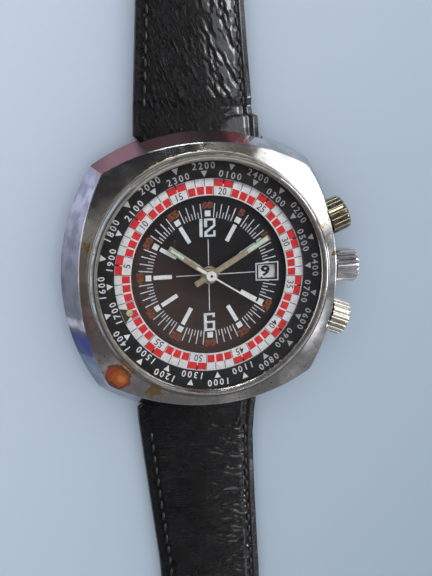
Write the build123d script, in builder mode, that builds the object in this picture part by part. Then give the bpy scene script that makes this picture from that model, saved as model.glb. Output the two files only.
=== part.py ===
from build123d import *
import math
import os

os.makedirs("parts", exist_ok=True)

# World time watch with a cushion case, three crowns and a two-part strap.
# The origin is the centre of the case back's resting face, +Z rises to the
# crystal, +Y points to 12 and +X to the crown at 3.

# Case middle
case_brim = 3.3
side_arc_radius = 30.0
corner_radius = 1.8
foot_height = 0.9
foot_inset = 1.6
widest_height = 3.0
flank_inset = 1.9
crease_height = 7.6
shoulder_height = 8.1
dome_run = 5.6
dome_drop = 2.05
dome_sag = 0.12
movement_bore_radius = 14.4
ring_floor_height = 6.35
overrun = 2.0

# Strap seat under the overhang, with the lugs on both sides of it
strap_width = 18.5
strap_side_gap = 0.15
strap_seat_depth = 15.95
strap_seat_ceiling = 3.9
lug_bar_gap = 0.55
lug_bar_height = 2.3
lug_bar_radius = 0.5
lug_bar_grip = 0.9
pin_gap = 0.04

# Case back with its screwed wall
back_bore_radius = 14.6
back_fit_gap = 0.04
back_wall = 0.75
back_wall_height = 1.6
back_flange_radius = 15.6
back_edge_chamfer = 0.35
back_notch_count = 6
back_notch_width = 1.8
back_notch_length = 1.1
back_notch_depth = 0.4
gasket_inner_radius = 14.85
gasket_outer_radius = 15.35
gasket_thickness = 0.45
gasket_gap = 0.02

# Bezel ring, its crystal and the crystal gasket
bezel_opening_radius = 17.1
bezel_wall = 1.3
bezel_skirt = 0.4
bezel_slope_inset = 0.45
bezel_height = 1.65
bezel_crown_width = 0.2
bezel_groove = 0.12
bezel_step = 0.3
spigot_setback = 0.5
spigot_depth = 0.3
ledge_thickness = 0.9
crystal_overlap = 0.25
crystal_edge_height = 1.35
crystal_rise = 0.4
crystal_chamfer = 0.25
crystal_gasket_wall = 0.15
seat_gap = 0.02

# Rings under the crystal, each turned by its own crown
ring_tooth_height = 0.4
ring_floor_gap = 0.1
minute_ring_inner_radius = 11.95
minute_ring_outer_radius = 15.55
minute_ring_thickness = 0.35
city_ring_inner_radius = 14.52
city_ring_overlap = 0.2
city_ring_side_gap = 0.15
city_ring_skirt_radius = 15.75
city_ring_thickness = 0.4
ring_slide_gap = 0.05
minute_tooth_count = 120
city_tooth_count = 132
pinion_tooth_count = 12
minute_tooth_inner_radius = 14.55
minute_tooth_outer_radius = 15.45
city_tooth_inner_radius = 15.95
city_tooth_outer_radius = 16.95
tooth_root_share = 0.55
tooth_tip_share = 0.25
zero_pip_radius = 0.5
zero_pip_height = 0.12
zero_pip_reach = 13.25
zero_pip_bearing = 248.5

# Dial with its markers, date window and ring seat
dial_radius = 14.2
dial_height = 6.0
dial_thickness = 0.35
dial_hole_radius = 1.25
ring_seat_inner_radius = 12.9
ring_seat_thickness = 0.42
marker_thickness = 0.1
square_side = 0.85
square_reach = 9.2
baton_width = 0.6
baton_length = 2.75
baton_reach = 7.05
date_window_start = 7.65
date_window_end = 10.4
date_window_half_height = 1.05
date_frame_border = 0.42
date_frame_thickness = 0.22
date_frame_taper = 0.15

# Date disc under the dial
date_disc_inner_radius = 6.6
date_disc_outer_radius = 11.8
date_disc_thickness = 0.18
date_disc_gap = 0.1
date_tooth_count = 31
date_tooth_depth = 0.35

# Hands, drawn at ten past ten
hour_bearing = 305.2
minute_bearing = 60.0
second_bearing = 122.5
hour_hand_length = 7.4
hour_hand_width = 0.9
hour_hand_height = 6.72
minute_hand_length = 10.6
minute_hand_width = 0.85
minute_hand_tail = 2.6
minute_hand_height = 7.22
second_hand_length = 9.3
second_hand_width = 0.22
second_hand_tail = 2.5
second_tail_width = 0.42
second_hand_height = 7.72
hand_thickness = 0.14
hour_hub_radius = 1.35
minute_hub_radius = 1.05
second_hub_radius = 0.75
second_hub_rise = 0.3

# Crowns, tubes and stems
crown_axis_height = 5.1
crown_radius = 2.65
crown_gap = 0.25
crown_flute_count = 20
crown_flute_radius = 0.27
crown_round = 0.7
crown_recess_gap = 0.2
crown_bore_radius = 1.65
crown_bore_depth = 1.2
crown_grip = 0.65
crown_bearings = {"crown_time": 0.0, "crown_upper": 21.2, "crown_lower": -21.2}
crown_lengths = {"crown_time": 3.7, "crown_upper": 3.05, "crown_lower": 3.05}
tube_radius = 1.3
tube_bore_radius = 0.66
tube_setback = 1.7
tube_reach = 0.9
stem_radius = 0.6
stem_bore_gap = 0.3
pilot_radius = 0.35
pilot_length = 0.7
pinion_side_gap = 0.05
pinion_pocket_gap = 0.2
time_stem_radius = 0.3
time_stem_end = 7.2
time_stem_neck_end = 14.0
sliding_pinion_radius = 0.55
sliding_tooth_height = 0.1
sliding_pinion_length = 1.6
sliding_pinion_start = 8.2
sliding_pinion_slot = 3.4

# Movement holder and main plate
holder_outer_gap = 0.08
holder_wall = 0.75
holder_height = 3.35
plate_radius = 13.48
plate_bottom = 4.1
plate_top = 5.6
plate_skirt_wall = 0.5
bridge_bottom = 2.3
bridge_thickness = 0.55
bearing_gap = 0.04

# Train of wheels, each with its teeth and its place on the plate
wheel_thickness = 0.16
third_bearing = 150.0
barrel_bearing = -30.0
escape_bearing = 80.0
center_tooth_count = 80
third_pinion_count = 10
third_tooth_count = 75
fourth_pinion_count = 10
fourth_tooth_count = 80
escape_pinion_count = 8
escape_tooth_count = 15
barrel_tooth_count = 72
center_pinion_count = 12
third_distance = 5.4
escape_distance = 4.4
barrel_distance = 5.88
fourth_wheel_height = 2.95
third_wheel_height = 3.17
escape_wheel_height = 3.5
center_pinion_height = 3.5
center_wheel_height = 3.86
pinion_length = 0.26
barrel_height = 3.2
barrel_thickness = 0.56
barrel_arbor_radius = 0.7
arbor_radius = 0.25
pivot_radius = 0.14
seconds_shaft_radius = 0.2
center_tube_radius = 0.4
center_tube_bore = 0.25
wheel_rim = 0.55
wheel_hub = 0.75
wheel_spoke = 0.42
escape_radius = 2.2
escape_rim_inset = 0.75
pallet_distance = 2.62
balance_distance = 2.6
balance_radius = 3.1
balance_rim = 0.4
balance_height = 2.95
balance_thickness = 0.22
roller_radius = 0.55
roller_height = 3.45
impulse_pin_radius = 0.09
impulse_pin_reach = 0.4
hairspring_inner_radius = 0.7
hairspring_radius = 1.6
hairspring_turns = 5
hairspring_width = 0.05
hairspring_height = 3.24
hairspring_depth = 0.12
hairspring_steps = 24
fork_width = 0.24
fork_span = 1.02
fork_pallet_length = 0.62
fork_horn = 0.3
fork_end_gap = 0.15

# Motion work between the plate and the dial
motion_bearing = 215.0
motion_distance = 2.4
cannon_tooth_count = 12
minute_wheel_count = 36
minute_pinion_count = 10
hour_tooth_count = 40
motion_bottom = 5.65
motion_thickness = 0.12
motion_step = 0.14
cannon_radius = 0.7
cannon_bore = 0.45
hour_pipe_radius = 1.05
hour_pipe_bore = 0.75
minute_post_radius = 0.3

# Winding rotor
rotor_radius = 12.6
rotor_rim = 2.0
rotor_rim_bottom = 1.15
rotor_web_bottom = 1.75
rotor_top = 2.1
rotor_arc = 170.0
rotor_bearing_radius = 1.3
rotor_screw_height = 0.25

# Jewels and screws
jewel_radius = 0.55
jewel_thickness = 0.2
screw_head_radius = 0.7
screw_head_height = 0.2
screw_slot_width = 0.2
screw_slot_depth = 0.1
screw_reach = 12.1
screw_bearings = [20.0, 118.0, 190.0, 250.0, 320.0]

# Strap halves, buckle and keepers
strap_lug_radius = 1.4
strap_bend_reach = 31.0
strap_thickness = 2.5
strap_end_thickness = 2.1
strap_taper = 2.5
buckle_half_length = 75.0
buckle_loop_run = 7.0
hole_half_length = 115.0
tip_length = 9.0
strap_hole_radius = 0.95
strap_hole_count = 7
strap_hole_pitch = 6.5
strap_hole_start = 24.0
strap_taper_start = 3.0
buckle_bar_radius = 0.75
buckle_bar_height = 1.45
buckle_loop_radius = 1.4
buckle_length = 9.5
buckle_wall = 1.7
buckle_thickness = 1.8
buckle_side_gap = 0.2
buckle_bar_end_gap = 0.35
buckle_round = 0.6
tang_width = 1.7
tang_thickness = 0.9
tang_gap = 0.15
tang_slot_gap = 0.35
tang_overhang = 0.5
keeper_length = 5.0
keeper_wall = 0.9
keeper_gap = 0.35
keeper_height = 5.0
keeper_round = 0.9
fixed_keeper_setback = 16.15
keeper_spacing = 14.0


def polar(radius, bearing):
    angle = math.radians(bearing)
    return (radius * math.cos(angle), radius * math.sin(angle))


def from_twelve(clock_bearing):
    """Angle from +X of a direction given clockwise from 12."""
    return 90 - clock_bearing


def crown_plane(bearing, reach):
    """Plane across a crown's axis, its normal pointing out of the case."""
    out = (math.cos(math.radians(bearing)), math.sin(math.radians(bearing)), 0)
    side = (-out[1], out[0], 0)
    return Plane(
        origin=(reach * out[0], reach * out[1], crown_axis_height), x_dir=side, z_dir=out
    )


def cushion_outline(height, half_width):
    """Square of four shallow arcs with softened corners."""
    inset = half_width - side_arc_radius
    corner = (inset + math.sqrt(2 * side_arc_radius**2 - inset**2)) / 2
    with BuildSketch(Plane.XY.offset(height)) as outline:
        with BuildLine():
            for turn in range(4):
                start = Vector(corner, -corner).rotate(Axis.Z, 90 * turn)
                middle = Vector(half_width, 0).rotate(Axis.Z, 90 * turn)
                end = Vector(corner, corner).rotate(Axis.Z, 90 * turn)
                ThreePointArc(start, middle, end)
        make_face()
        fillet(outline.vertices(), corner_radius)
    return outline.sketch


def toothed_points(teeth, pitch_radius, height, phase, center=(0, 0)):
    """Outline of a gear with one tooth centred on the phase angle."""
    pitch = 360 / teeth
    points = []
    for n in range(teeth):
        middle = phase + n * pitch
        for radius, turn in (
            (pitch_radius - height / 2, -tooth_root_share / 2),
            (pitch_radius + height / 2, -tooth_tip_share / 2),
            (pitch_radius + height / 2, tooth_tip_share / 2),
            (pitch_radius - height / 2, tooth_root_share / 2),
        ):
            x, y = polar(radius, middle + turn * pitch)
            points.append((center[0] + x, center[1] + y))
    return points


def toothed_disc(plane, depth, teeth, pitch_radius, height, phase, center=(0, 0)):
    """Plain gear or pinion, extruded from its plane."""
    with BuildSketch(plane) as gear:
        with BuildLine():
            Polyline(*toothed_points(teeth, pitch_radius, height, phase, center), close=True)
        make_face()
    extrude(gear.sketch, amount=depth)


def spoked_wheel(teeth, pitch_radius, height, phase, center, bottom, spokes):
    """Wheel with a toothed rim, a hub and straight spokes."""
    with BuildSketch(Plane.XY.offset(bottom)) as wheel:
        with BuildLine():
            Polyline(*toothed_points(teeth, pitch_radius, height, phase, center), close=True)
        make_face()
        with Locations(center):
            Circle(pitch_radius - wheel_rim, mode=Mode.SUBTRACT)
            Circle(wheel_hub)
            with PolarLocations(0, spokes, start_angle=phase):
                with Locations(((pitch_radius - wheel_rim / 2) / 2, 0)):
                    Rectangle(pitch_radius - wheel_rim / 2, wheel_spoke)
    extrude(wheel.sketch, amount=wheel_thickness)


def rod(center, radius, bottom, top, mode=Mode.ADD):
    """Upright round bar between two heights."""
    with BuildSketch(Plane.XY.offset(bottom)) as disc:
        with Locations(center):
            Circle(radius)
    extrude(disc.sketch, amount=top - bottom, mode=mode)


def write(piece, node):
    piece.part.label = node
    export_step(piece.part, f"parts/{node}.step")


bezel_radius = bezel_opening_radius + bezel_wall
spigot_radius = bezel_radius - spigot_setback
crystal_radius = bezel_opening_radius + crystal_overlap
city_ring_outer_radius = bezel_opening_radius + city_ring_overlap
ring_bore_radius = city_ring_outer_radius + city_ring_side_gap
half_case = bezel_radius + case_brim
lug_bar_reach = strap_seat_depth + strap_lug_radius + lug_bar_gap
strap_end_width = strap_width - strap_taper
dome_reach = bezel_radius + dome_run
half_crease = half_case - flank_inset


def crease_reach(bearing):
    """Distance from the case's centre to its crease, at a crown's bearing."""
    inset = half_crease - side_arc_radius
    run = inset * math.cos(math.radians(bearing))
    return run + math.sqrt(run**2 - inset**2 + side_arc_radius**2)


crown_starts = {node: crease_reach(turn) + crown_gap for node, turn in crown_bearings.items()}
tube_starts = {node: start - tube_setback for node, start in crown_starts.items()}
tube_length = tube_setback + tube_reach
ring_root_height = ring_floor_height + ring_floor_gap + ring_tooth_height
minute_ring_top = ring_root_height + minute_ring_thickness
city_ring_bottom = minute_ring_top + ring_slide_gap
bezel_bottom = shoulder_height
pinion_tip = ring_root_height - ring_slide_gap - crown_axis_height
pinion_root = pinion_tip - ring_tooth_height
pinion_pitch = (pinion_tip + pinion_root) / 2
third_center = polar(third_distance, third_bearing)
barrel_center = polar(barrel_distance, barrel_bearing)
escape_center = polar(escape_distance, escape_bearing)
pallet_center = polar(escape_distance + pallet_distance, escape_bearing)
balance_center = polar(escape_distance + pallet_distance + balance_distance, escape_bearing)
motion_center = polar(motion_distance, motion_bearing)


def pitch_pair(distance, first, second):
    """Pitch radii of two meshed wheels and their common tooth height."""
    module = 2 * distance / (first + second)
    return module * first / 2, module * second / 2, module * tooth_height_share


tooth_height_share = 1.7
center_pitch, third_pinion_pitch, center_tooth = pitch_pair(
    third_distance, center_tooth_count, third_pinion_count
)
third_pitch, fourth_pinion_pitch, third_tooth = pitch_pair(
    third_distance, third_tooth_count, fourth_pinion_count
)
fourth_pitch, escape_pinion_pitch, fourth_tooth = pitch_pair(
    escape_distance, fourth_tooth_count, escape_pinion_count
)
barrel_pitch, center_pinion_pitch, barrel_tooth = pitch_pair(
    barrel_distance, barrel_tooth_count, center_pinion_count
)
cannon_pitch, minute_wheel_pitch, cannon_tooth = pitch_pair(
    motion_distance, cannon_tooth_count, minute_wheel_count
)
minute_pinion_pitch, hour_pitch, hour_tooth = pitch_pair(
    motion_distance, minute_pinion_count, hour_tooth_count
)


def facing_phase(bearing, teeth):
    """Phase that puts a gap, not a tooth, towards the partner's centre."""
    return bearing + 180 + 180 / teeth


# Case middle: polished flanks that meet the domed top in a crisp edge
with BuildPart() as case_middle:
    slope = flank_inset / (crease_height - widest_height)
    top_plane = shoulder_height + bezel_skirt
    foot = cushion_outline(foot_height, half_case - foot_inset)
    waist = cushion_outline(widest_height, half_case)
    brow = cushion_outline(top_plane, half_case - slope * (top_plane - widest_height))
    loft([foot.face(), waist.face(), brow.face()], ruled=True)
    with BuildSketch(Plane.XZ):
        with BuildLine():
            shoulder = (bezel_radius, shoulder_height)
            reach = (dome_reach, shoulder_height - dome_drop)
            middle = (
                (bezel_radius + dome_reach) / 2,
                shoulder_height - dome_drop / 2 + dome_sag,
            )
            ThreePointArc(shoulder, middle, reach)
            Polyline(reach, (dome_reach, 0), (0, 0), (0, shoulder_height), shoulder)
        make_face()
    revolve(mode=Mode.INTERSECT)
    rod((0, 0), movement_bore_radius, 0, shoulder_height, mode=Mode.SUBTRACT)
    back_bore_top = foot_height + back_wall_height + back_fit_gap
    rod((0, 0), back_bore_radius, 0, back_bore_top, mode=Mode.SUBTRACT)
    ring_bore_top = shoulder_height - spigot_depth - seat_gap
    rod((0, 0), ring_bore_radius, ring_floor_height, shoulder_height, mode=Mode.SUBTRACT)
    rod((0, 0), spigot_radius + seat_gap, ring_bore_top, shoulder_height, mode=Mode.SUBTRACT)
    with BuildSketch(Plane.XY.offset(foot_height)):
        Circle(gasket_outer_radius + gasket_gap)
        Circle(gasket_inner_radius - gasket_gap, mode=Mode.SUBTRACT)
    extrude(amount=gasket_thickness + gasket_gap, mode=Mode.SUBTRACT)
    seat_width = strap_width + 2 * strap_side_gap
    seat_length = half_case - strap_seat_depth + overrun
    with BuildSketch():
        for side in (1, -1):
            with Locations((0, side * (strap_seat_depth + seat_length / 2))):
                Rectangle(seat_width, seat_length)
    extrude(amount=strap_seat_ceiling, mode=Mode.SUBTRACT)
    bar_span = seat_width + 2 * lug_bar_grip
    with BuildSketch(Plane.YZ):
        for side in (1, -1):
            with Locations((side * lug_bar_reach, lug_bar_height)):
                Circle(lug_bar_radius + pin_gap)
    extrude(amount=bar_span / 2 + pin_gap, both=True, mode=Mode.SUBTRACT)
    for node, bearing in crown_bearings.items():
        with BuildSketch(crown_plane(bearing, movement_bore_radius / 2)):
            Circle(stem_radius + stem_bore_gap)
        extrude(amount=half_case, mode=Mode.SUBTRACT)
        with BuildSketch(crown_plane(bearing, tube_starts[node] - seat_gap)):
            Circle(tube_radius + seat_gap)
        extrude(amount=half_case, mode=Mode.SUBTRACT)
        with BuildSketch(crown_plane(bearing, crown_starts[node] - crown_recess_gap)):
            Circle(crown_radius + crown_recess_gap)
        extrude(amount=half_case, mode=Mode.SUBTRACT)
    for node, outer in (
        ("crown_upper", city_tooth_outer_radius),
        ("crown_lower", minute_tooth_outer_radius),
    ):
        with BuildSketch(crown_plane(crown_bearings[node], movement_bore_radius / 2)):
            Circle(pinion_tip + pinion_pocket_gap)
        pocket_end = outer + pinion_side_gap + pinion_pocket_gap
        extrude(amount=pocket_end - movement_bore_radius / 2, mode=Mode.SUBTRACT)
write(case_middle, "case_middle")


# Case back: flange with six tool notches and the wall that screws in
with BuildPart() as case_back:
    rod((0, 0), back_flange_radius, 0, foot_height - seat_gap)
    chamfer(case_back.edges().group_by(Axis.Z)[0], back_edge_chamfer)
    wall_radius = back_bore_radius - back_fit_gap
    rod((0, 0), wall_radius, foot_height - seat_gap, foot_height + back_wall_height)
    rod(
        (0, 0),
        wall_radius - back_wall,
        foot_height - seat_gap,
        foot_height + back_wall_height,
        mode=Mode.SUBTRACT,
    )
    with BuildSketch():
        with PolarLocations(back_flange_radius - back_notch_length / 2, back_notch_count):
            Rectangle(back_notch_length + back_edge_chamfer, back_notch_width)
    extrude(amount=back_notch_depth, mode=Mode.SUBTRACT)
write(case_back, "case_back")

with BuildPart() as case_back_gasket:
    with BuildSketch(Plane.XY.offset(foot_height)):
        Circle(gasket_outer_radius)
        Circle(gasket_inner_radius, mode=Mode.SUBTRACT)
    extrude(amount=gasket_thickness)
write(case_back_gasket, "case_back_gasket")


# Bezel ring: stepped slope outside, ledge for the crystal inside
bezel_top = bezel_bottom + bezel_height
crystal_bottom = bezel_bottom - spigot_depth + ledge_thickness
gasket_wall_radius = crystal_radius + crystal_gasket_wall + 2 * seat_gap
with BuildPart() as bezel_ring:
    with BuildSketch(Plane.XZ):
        crown_outer = gasket_wall_radius + bezel_crown_width
        step_radius = bezel_radius - bezel_slope_inset
        with BuildLine():
            Polyline(
                (bezel_opening_radius, bezel_bottom - spigot_depth),
                (spigot_radius, bezel_bottom - spigot_depth),
                (spigot_radius, bezel_bottom),
                (bezel_radius, bezel_bottom),
                (bezel_radius, bezel_bottom + bezel_skirt),
                (step_radius, bezel_top - bezel_step),
                (step_radius - bezel_groove, bezel_top - bezel_step),
                (step_radius - bezel_groove, bezel_top - bezel_step - bezel_groove),
                (crown_outer, bezel_top - bezel_step - bezel_groove),
                (crown_outer, bezel_top - bezel_groove),
                (crown_outer - bezel_groove, bezel_top),
                (gasket_wall_radius, bezel_top),
                (gasket_wall_radius, crystal_bottom),
                (bezel_opening_radius + bezel_groove, crystal_bottom),
                (bezel_opening_radius, crystal_bottom - bezel_groove),
                close=True,
            )
        make_face()
    revolve()
write(bezel_ring, "bezel_ring")

with BuildPart() as crystal:
    with BuildSketch(Plane.XZ):
        base = crystal_bottom + seat_gap
        edge = base + crystal_edge_height
        with BuildLine():
            Polyline((0, edge + crystal_rise), (0, base), (crystal_radius, base))
            Line((crystal_radius, base), (crystal_radius, edge - crystal_chamfer))
            Line(
                (crystal_radius, edge - crystal_chamfer),
                (crystal_radius - crystal_chamfer, edge),
            )
            rise_radius = ((crystal_radius - crystal_chamfer) ** 2 + crystal_rise**2) / (
                2 * crystal_rise
            )
            half_way = (crystal_radius - crystal_chamfer) / 2
            arc_height = math.sqrt(rise_radius**2 - half_way**2) - rise_radius
            ThreePointArc(
                (crystal_radius - crystal_chamfer, edge),
                (half_way, edge + crystal_rise + arc_height),
                (0, edge + crystal_rise),
            )
        make_face()
    revolve()
write(crystal, "crystal")

with BuildPart() as crystal_gasket:
    with BuildSketch(Plane.XY.offset(crystal_bottom + seat_gap)):
        Circle(gasket_wall_radius - seat_gap)
        Circle(crystal_radius + seat_gap, mode=Mode.SUBTRACT)
    extrude(amount=crystal_edge_height - crystal_chamfer)
write(crystal_gasket, "crystal_gasket")


def face_teeth(count, inner, outer, phase):
    """Teeth that hang below a ring, each a straight radial ridge."""
    pitch = 2 * math.pi * (inner + outer) / 2 / count
    faces = []
    for n in range(count):
        bearing = phase + n * 360 / count
        plane = crown_plane(bearing, inner)
        root = ring_root_height - crown_axis_height
        with BuildSketch(plane) as tooth:
            with BuildLine():
                Polyline(
                    (-pitch * tooth_root_share / 2, root),
                    (-pitch * tooth_tip_share / 2, root - ring_tooth_height),
                    (pitch * tooth_tip_share / 2, root - ring_tooth_height),
                    (pitch * tooth_root_share / 2, root),
                    close=True,
                )
            make_face()
        faces.append(tooth.sketch.face())
    extrude(faces, amount=outer - inner)


# Minute ring, split red and white, with face teeth under its rim
with BuildPart() as minute_ring:
    with BuildSketch(Plane.XY.offset(ring_root_height)):
        Circle(minute_ring_outer_radius)
        Circle(minute_ring_inner_radius, mode=Mode.SUBTRACT)
    extrude(amount=minute_ring_thickness)
    face_teeth(
        minute_tooth_count,
        minute_tooth_inner_radius,
        minute_tooth_outer_radius,
        crown_bearings["crown_lower"],
    )
write(minute_ring, "minute_ring")

with BuildPart() as zero_pip:
    rod(
        polar(zero_pip_reach, from_twelve(zero_pip_bearing)),
        zero_pip_radius,
        minute_ring_top,
        minute_ring_top + zero_pip_height,
    )
    chamfer(zero_pip.edges().group_by(Axis.Z)[-1], zero_pip_height / 2)
write(zero_pip, "zero_pip")

# World time ring of twenty-four sectors, with a toothed skirt
with BuildPart() as city_ring:
    with BuildSketch(Plane.XY.offset(city_ring_bottom)):
        Circle(city_ring_outer_radius)
        Circle(city_ring_inner_radius, mode=Mode.SUBTRACT)
    extrude(amount=city_ring_thickness)
    with BuildSketch(Plane.XY.offset(ring_root_height)):
        Circle(city_ring_outer_radius)
        Circle(city_ring_skirt_radius, mode=Mode.SUBTRACT)
    extrude(amount=city_ring_bottom - ring_root_height)
    face_teeth(
        city_tooth_count,
        city_tooth_inner_radius,
        city_tooth_outer_radius,
        crown_bearings["crown_upper"],
    )
write(city_ring, "city_ring")


# Dial with its centre hole and the date window
dial_top = dial_height + dial_thickness
window_length = date_window_end - date_window_start
window_middle = (date_window_start + date_window_end) / 2
with BuildPart() as dial:
    with BuildSketch(Plane.XY.offset(dial_height)):
        Circle(dial_radius)
        Circle(dial_hole_radius, mode=Mode.SUBTRACT)
        with Locations((window_middle, 0)):
            Rectangle(window_length, 2 * date_window_half_height, mode=Mode.SUBTRACT)
    extrude(amount=dial_thickness)
write(dial, "dial")

with BuildPart() as ring_seat:
    with BuildSketch(Plane.XY.offset(dial_top)):
        Circle(dial_radius)
        Circle(ring_seat_inner_radius, mode=Mode.SUBTRACT)
    extrude(amount=ring_seat_thickness)
write(ring_seat, "ring_seat")

with BuildPart() as date_frame:
    with BuildSketch(Plane.XY.offset(dial_top)):
        frame_start = date_window_start - date_frame_border
        frame_end = date_window_end + date_frame_border
        half_height = date_window_half_height + date_frame_border
        with BuildLine():
            Polyline(
                (frame_start, half_height - date_frame_taper),
                (frame_end, half_height),
                (frame_end, -half_height),
                (frame_start, -half_height + date_frame_taper),
                close=True,
            )
        make_face()
        with Locations((window_middle, 0)):
            Rectangle(window_length, 2 * date_window_half_height, mode=Mode.SUBTRACT)
    extrude(amount=date_frame_thickness)
write(date_frame, "date_frame")

# Hour markers: squares at the minute track and batons inside it
with BuildPart() as hour_markers:
    with BuildSketch(Plane.XY.offset(dial_top)):
        for hour in range(1, 13):
            with PolarLocations(0, 1, start_angle=from_twelve(30 * hour)):
                if hour != 3:
                    with Locations((square_reach, 0)):
                        Rectangle(square_side, square_side)
                if hour not in (3, 6, 12):
                    with Locations((baton_reach, 0)):
                        Rectangle(baton_length, baton_width)
    extrude(amount=marker_thickness)
write(hour_markers, "hour_markers")

# Date disc with thirty-one inner teeth
with BuildPart() as date_disc:
    with BuildSketch(Plane.XY.offset(plate_top + date_disc_gap)):
        Circle(date_disc_outer_radius)
        Circle(date_disc_inner_radius, mode=Mode.SUBTRACT)
        with PolarLocations(date_disc_inner_radius, date_tooth_count):
            Rectangle(date_tooth_depth * 2, date_tooth_depth, mode=Mode.SUBTRACT)
    extrude(amount=date_disc_thickness)
write(date_disc, "date_disc")


# Hands: batons for hours and minutes, a needle with a counterweight for seconds
def hand_plane(bearing, height):
    angle = math.radians(from_twelve(bearing))
    return Plane(
        origin=(0, 0, height), x_dir=(math.cos(angle), math.sin(angle), 0), z_dir=(0, 0, 1)
    )


with BuildPart() as hour_hand:
    with BuildSketch(hand_plane(hour_bearing, hour_hand_height)):
        with Locations((hour_hand_length / 2, 0)):
            Rectangle(hour_hand_length, hour_hand_width)
        Circle(hour_hub_radius)
        Circle(hour_pipe_radius + seat_gap, mode=Mode.SUBTRACT)
    extrude(amount=hand_thickness)
write(hour_hand, "hour_hand")

with BuildPart() as minute_hand:
    with BuildSketch(hand_plane(minute_bearing, minute_hand_height)):
        with Locations(((minute_hand_length - minute_hand_tail) / 2, 0)):
            Rectangle(minute_hand_length + minute_hand_tail, minute_hand_width)
        Circle(minute_hub_radius)
        Circle(cannon_radius + seat_gap, mode=Mode.SUBTRACT)
    extrude(amount=hand_thickness)
write(minute_hand, "minute_hand")

with BuildPart() as seconds_hand:
    with BuildSketch(hand_plane(second_bearing, second_hand_height)):
        with Locations((second_hand_length / 2, 0)):
            Rectangle(second_hand_length, second_hand_width)
        with Locations((-second_hand_tail / 2, 0)):
            Rectangle(second_hand_tail, second_tail_width)
        Circle(second_hub_radius)
    extrude(amount=hand_thickness)
    second_hand_top = second_hand_height + hand_thickness
    rod((0, 0), second_hub_radius, second_hand_top, second_hand_top + second_hub_rise)
    rod((0, 0), seconds_shaft_radius, second_hand_height, second_hand_top, mode=Mode.SUBTRACT)
write(seconds_hand, "seconds_hand")


# Crowns: fluted, rounded at the outer end, hollow over their tubes
for node, bearing in crown_bearings.items():
    with BuildPart() as crown:
        inner_plane = crown_plane(bearing, crown_starts[node])
        with BuildSketch(inner_plane):
            Circle(crown_radius)
        extrude(amount=crown_lengths[node])
        out_axis = Axis((0, 0, crown_axis_height), inner_plane.z_dir)
        fillet(crown.edges().group_by(out_axis)[-1], crown_round)
        with BuildSketch(inner_plane):
            with PolarLocations(crown_radius, crown_flute_count):
                Circle(crown_flute_radius)
        extrude(amount=crown_lengths[node], mode=Mode.SUBTRACT)
        with BuildSketch(inner_plane):
            Circle(crown_bore_radius)
        extrude(amount=crown_bore_depth, mode=Mode.SUBTRACT)
        with BuildSketch(inner_plane):
            Circle(stem_radius + pin_gap)
        extrude(amount=crown_bore_depth + crown_grip + pin_gap, mode=Mode.SUBTRACT)
    write(crown, node)

# Tubes pressed into the case, one under each crown
with BuildPart() as crown_tubes:
    for node, bearing in crown_bearings.items():
        with BuildSketch(crown_plane(bearing, tube_starts[node])):
            Circle(tube_radius)
            Circle(tube_bore_radius, mode=Mode.SUBTRACT)
        extrude(amount=tube_length)
write(crown_tubes, "crown_tubes")


def ring_stem(node, inner, outer):
    """Stem with a pinion under its ring and a pilot in the movement holder."""
    bearing = crown_bearings[node]
    inner_face = inner + pinion_side_gap
    outer_face = outer - pinion_side_gap
    toothed_disc(
        crown_plane(bearing, inner_face),
        outer_face - inner_face,
        pinion_tooth_count,
        pinion_pitch,
        ring_tooth_height,
        90 + 180 / pinion_tooth_count,
    )
    with BuildSketch(crown_plane(bearing, outer_face)) as shaft:
        Circle(stem_radius)
    shaft_end = crown_starts[node] + crown_bore_depth + crown_grip
    extrude(shaft.sketch, amount=shaft_end - outer_face)
    pilot_start = movement_bore_radius - holder_outer_gap - pilot_length
    with BuildSketch(crown_plane(bearing, pilot_start)) as pilot:
        Circle(pilot_radius)
    extrude(pilot.sketch, amount=inner_face - pilot_start)


with BuildPart() as upper_ring_stem:
    ring_stem("crown_upper", city_tooth_inner_radius, city_tooth_outer_radius)
write(upper_ring_stem, "upper_ring_stem")

with BuildPart() as lower_ring_stem:
    ring_stem("crown_lower", minute_tooth_inner_radius, minute_tooth_outer_radius)
write(lower_ring_stem, "lower_ring_stem")

# Time-setting stem with its sliding pinion
with BuildPart() as setting_stem:
    bearing = crown_bearings["crown_time"]
    with BuildSketch(crown_plane(bearing, time_stem_end)):
        Circle(time_stem_radius)
    extrude(amount=time_stem_neck_end + stem_radius - time_stem_end)
    with BuildSketch(crown_plane(bearing, time_stem_neck_end + stem_radius)):
        Circle(stem_radius)
    stem_end = crown_starts["crown_time"] + crown_bore_depth + crown_grip
    extrude(amount=stem_end - time_stem_neck_end - stem_radius)
write(setting_stem, "setting_stem")

with BuildPart() as sliding_pinion:
    bearing = crown_bearings["crown_time"]
    toothed_disc(
        crown_plane(bearing, sliding_pinion_start),
        sliding_pinion_length,
        pinion_tooth_count,
        sliding_pinion_radius - sliding_tooth_height / 2,
        sliding_tooth_height,
        0,
    )
    with BuildSketch(crown_plane(bearing, sliding_pinion_start)):
        Circle(time_stem_radius + pin_gap)
    extrude(amount=sliding_pinion_length, mode=Mode.SUBTRACT)
write(sliding_pinion, "sliding_pinion")


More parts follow.
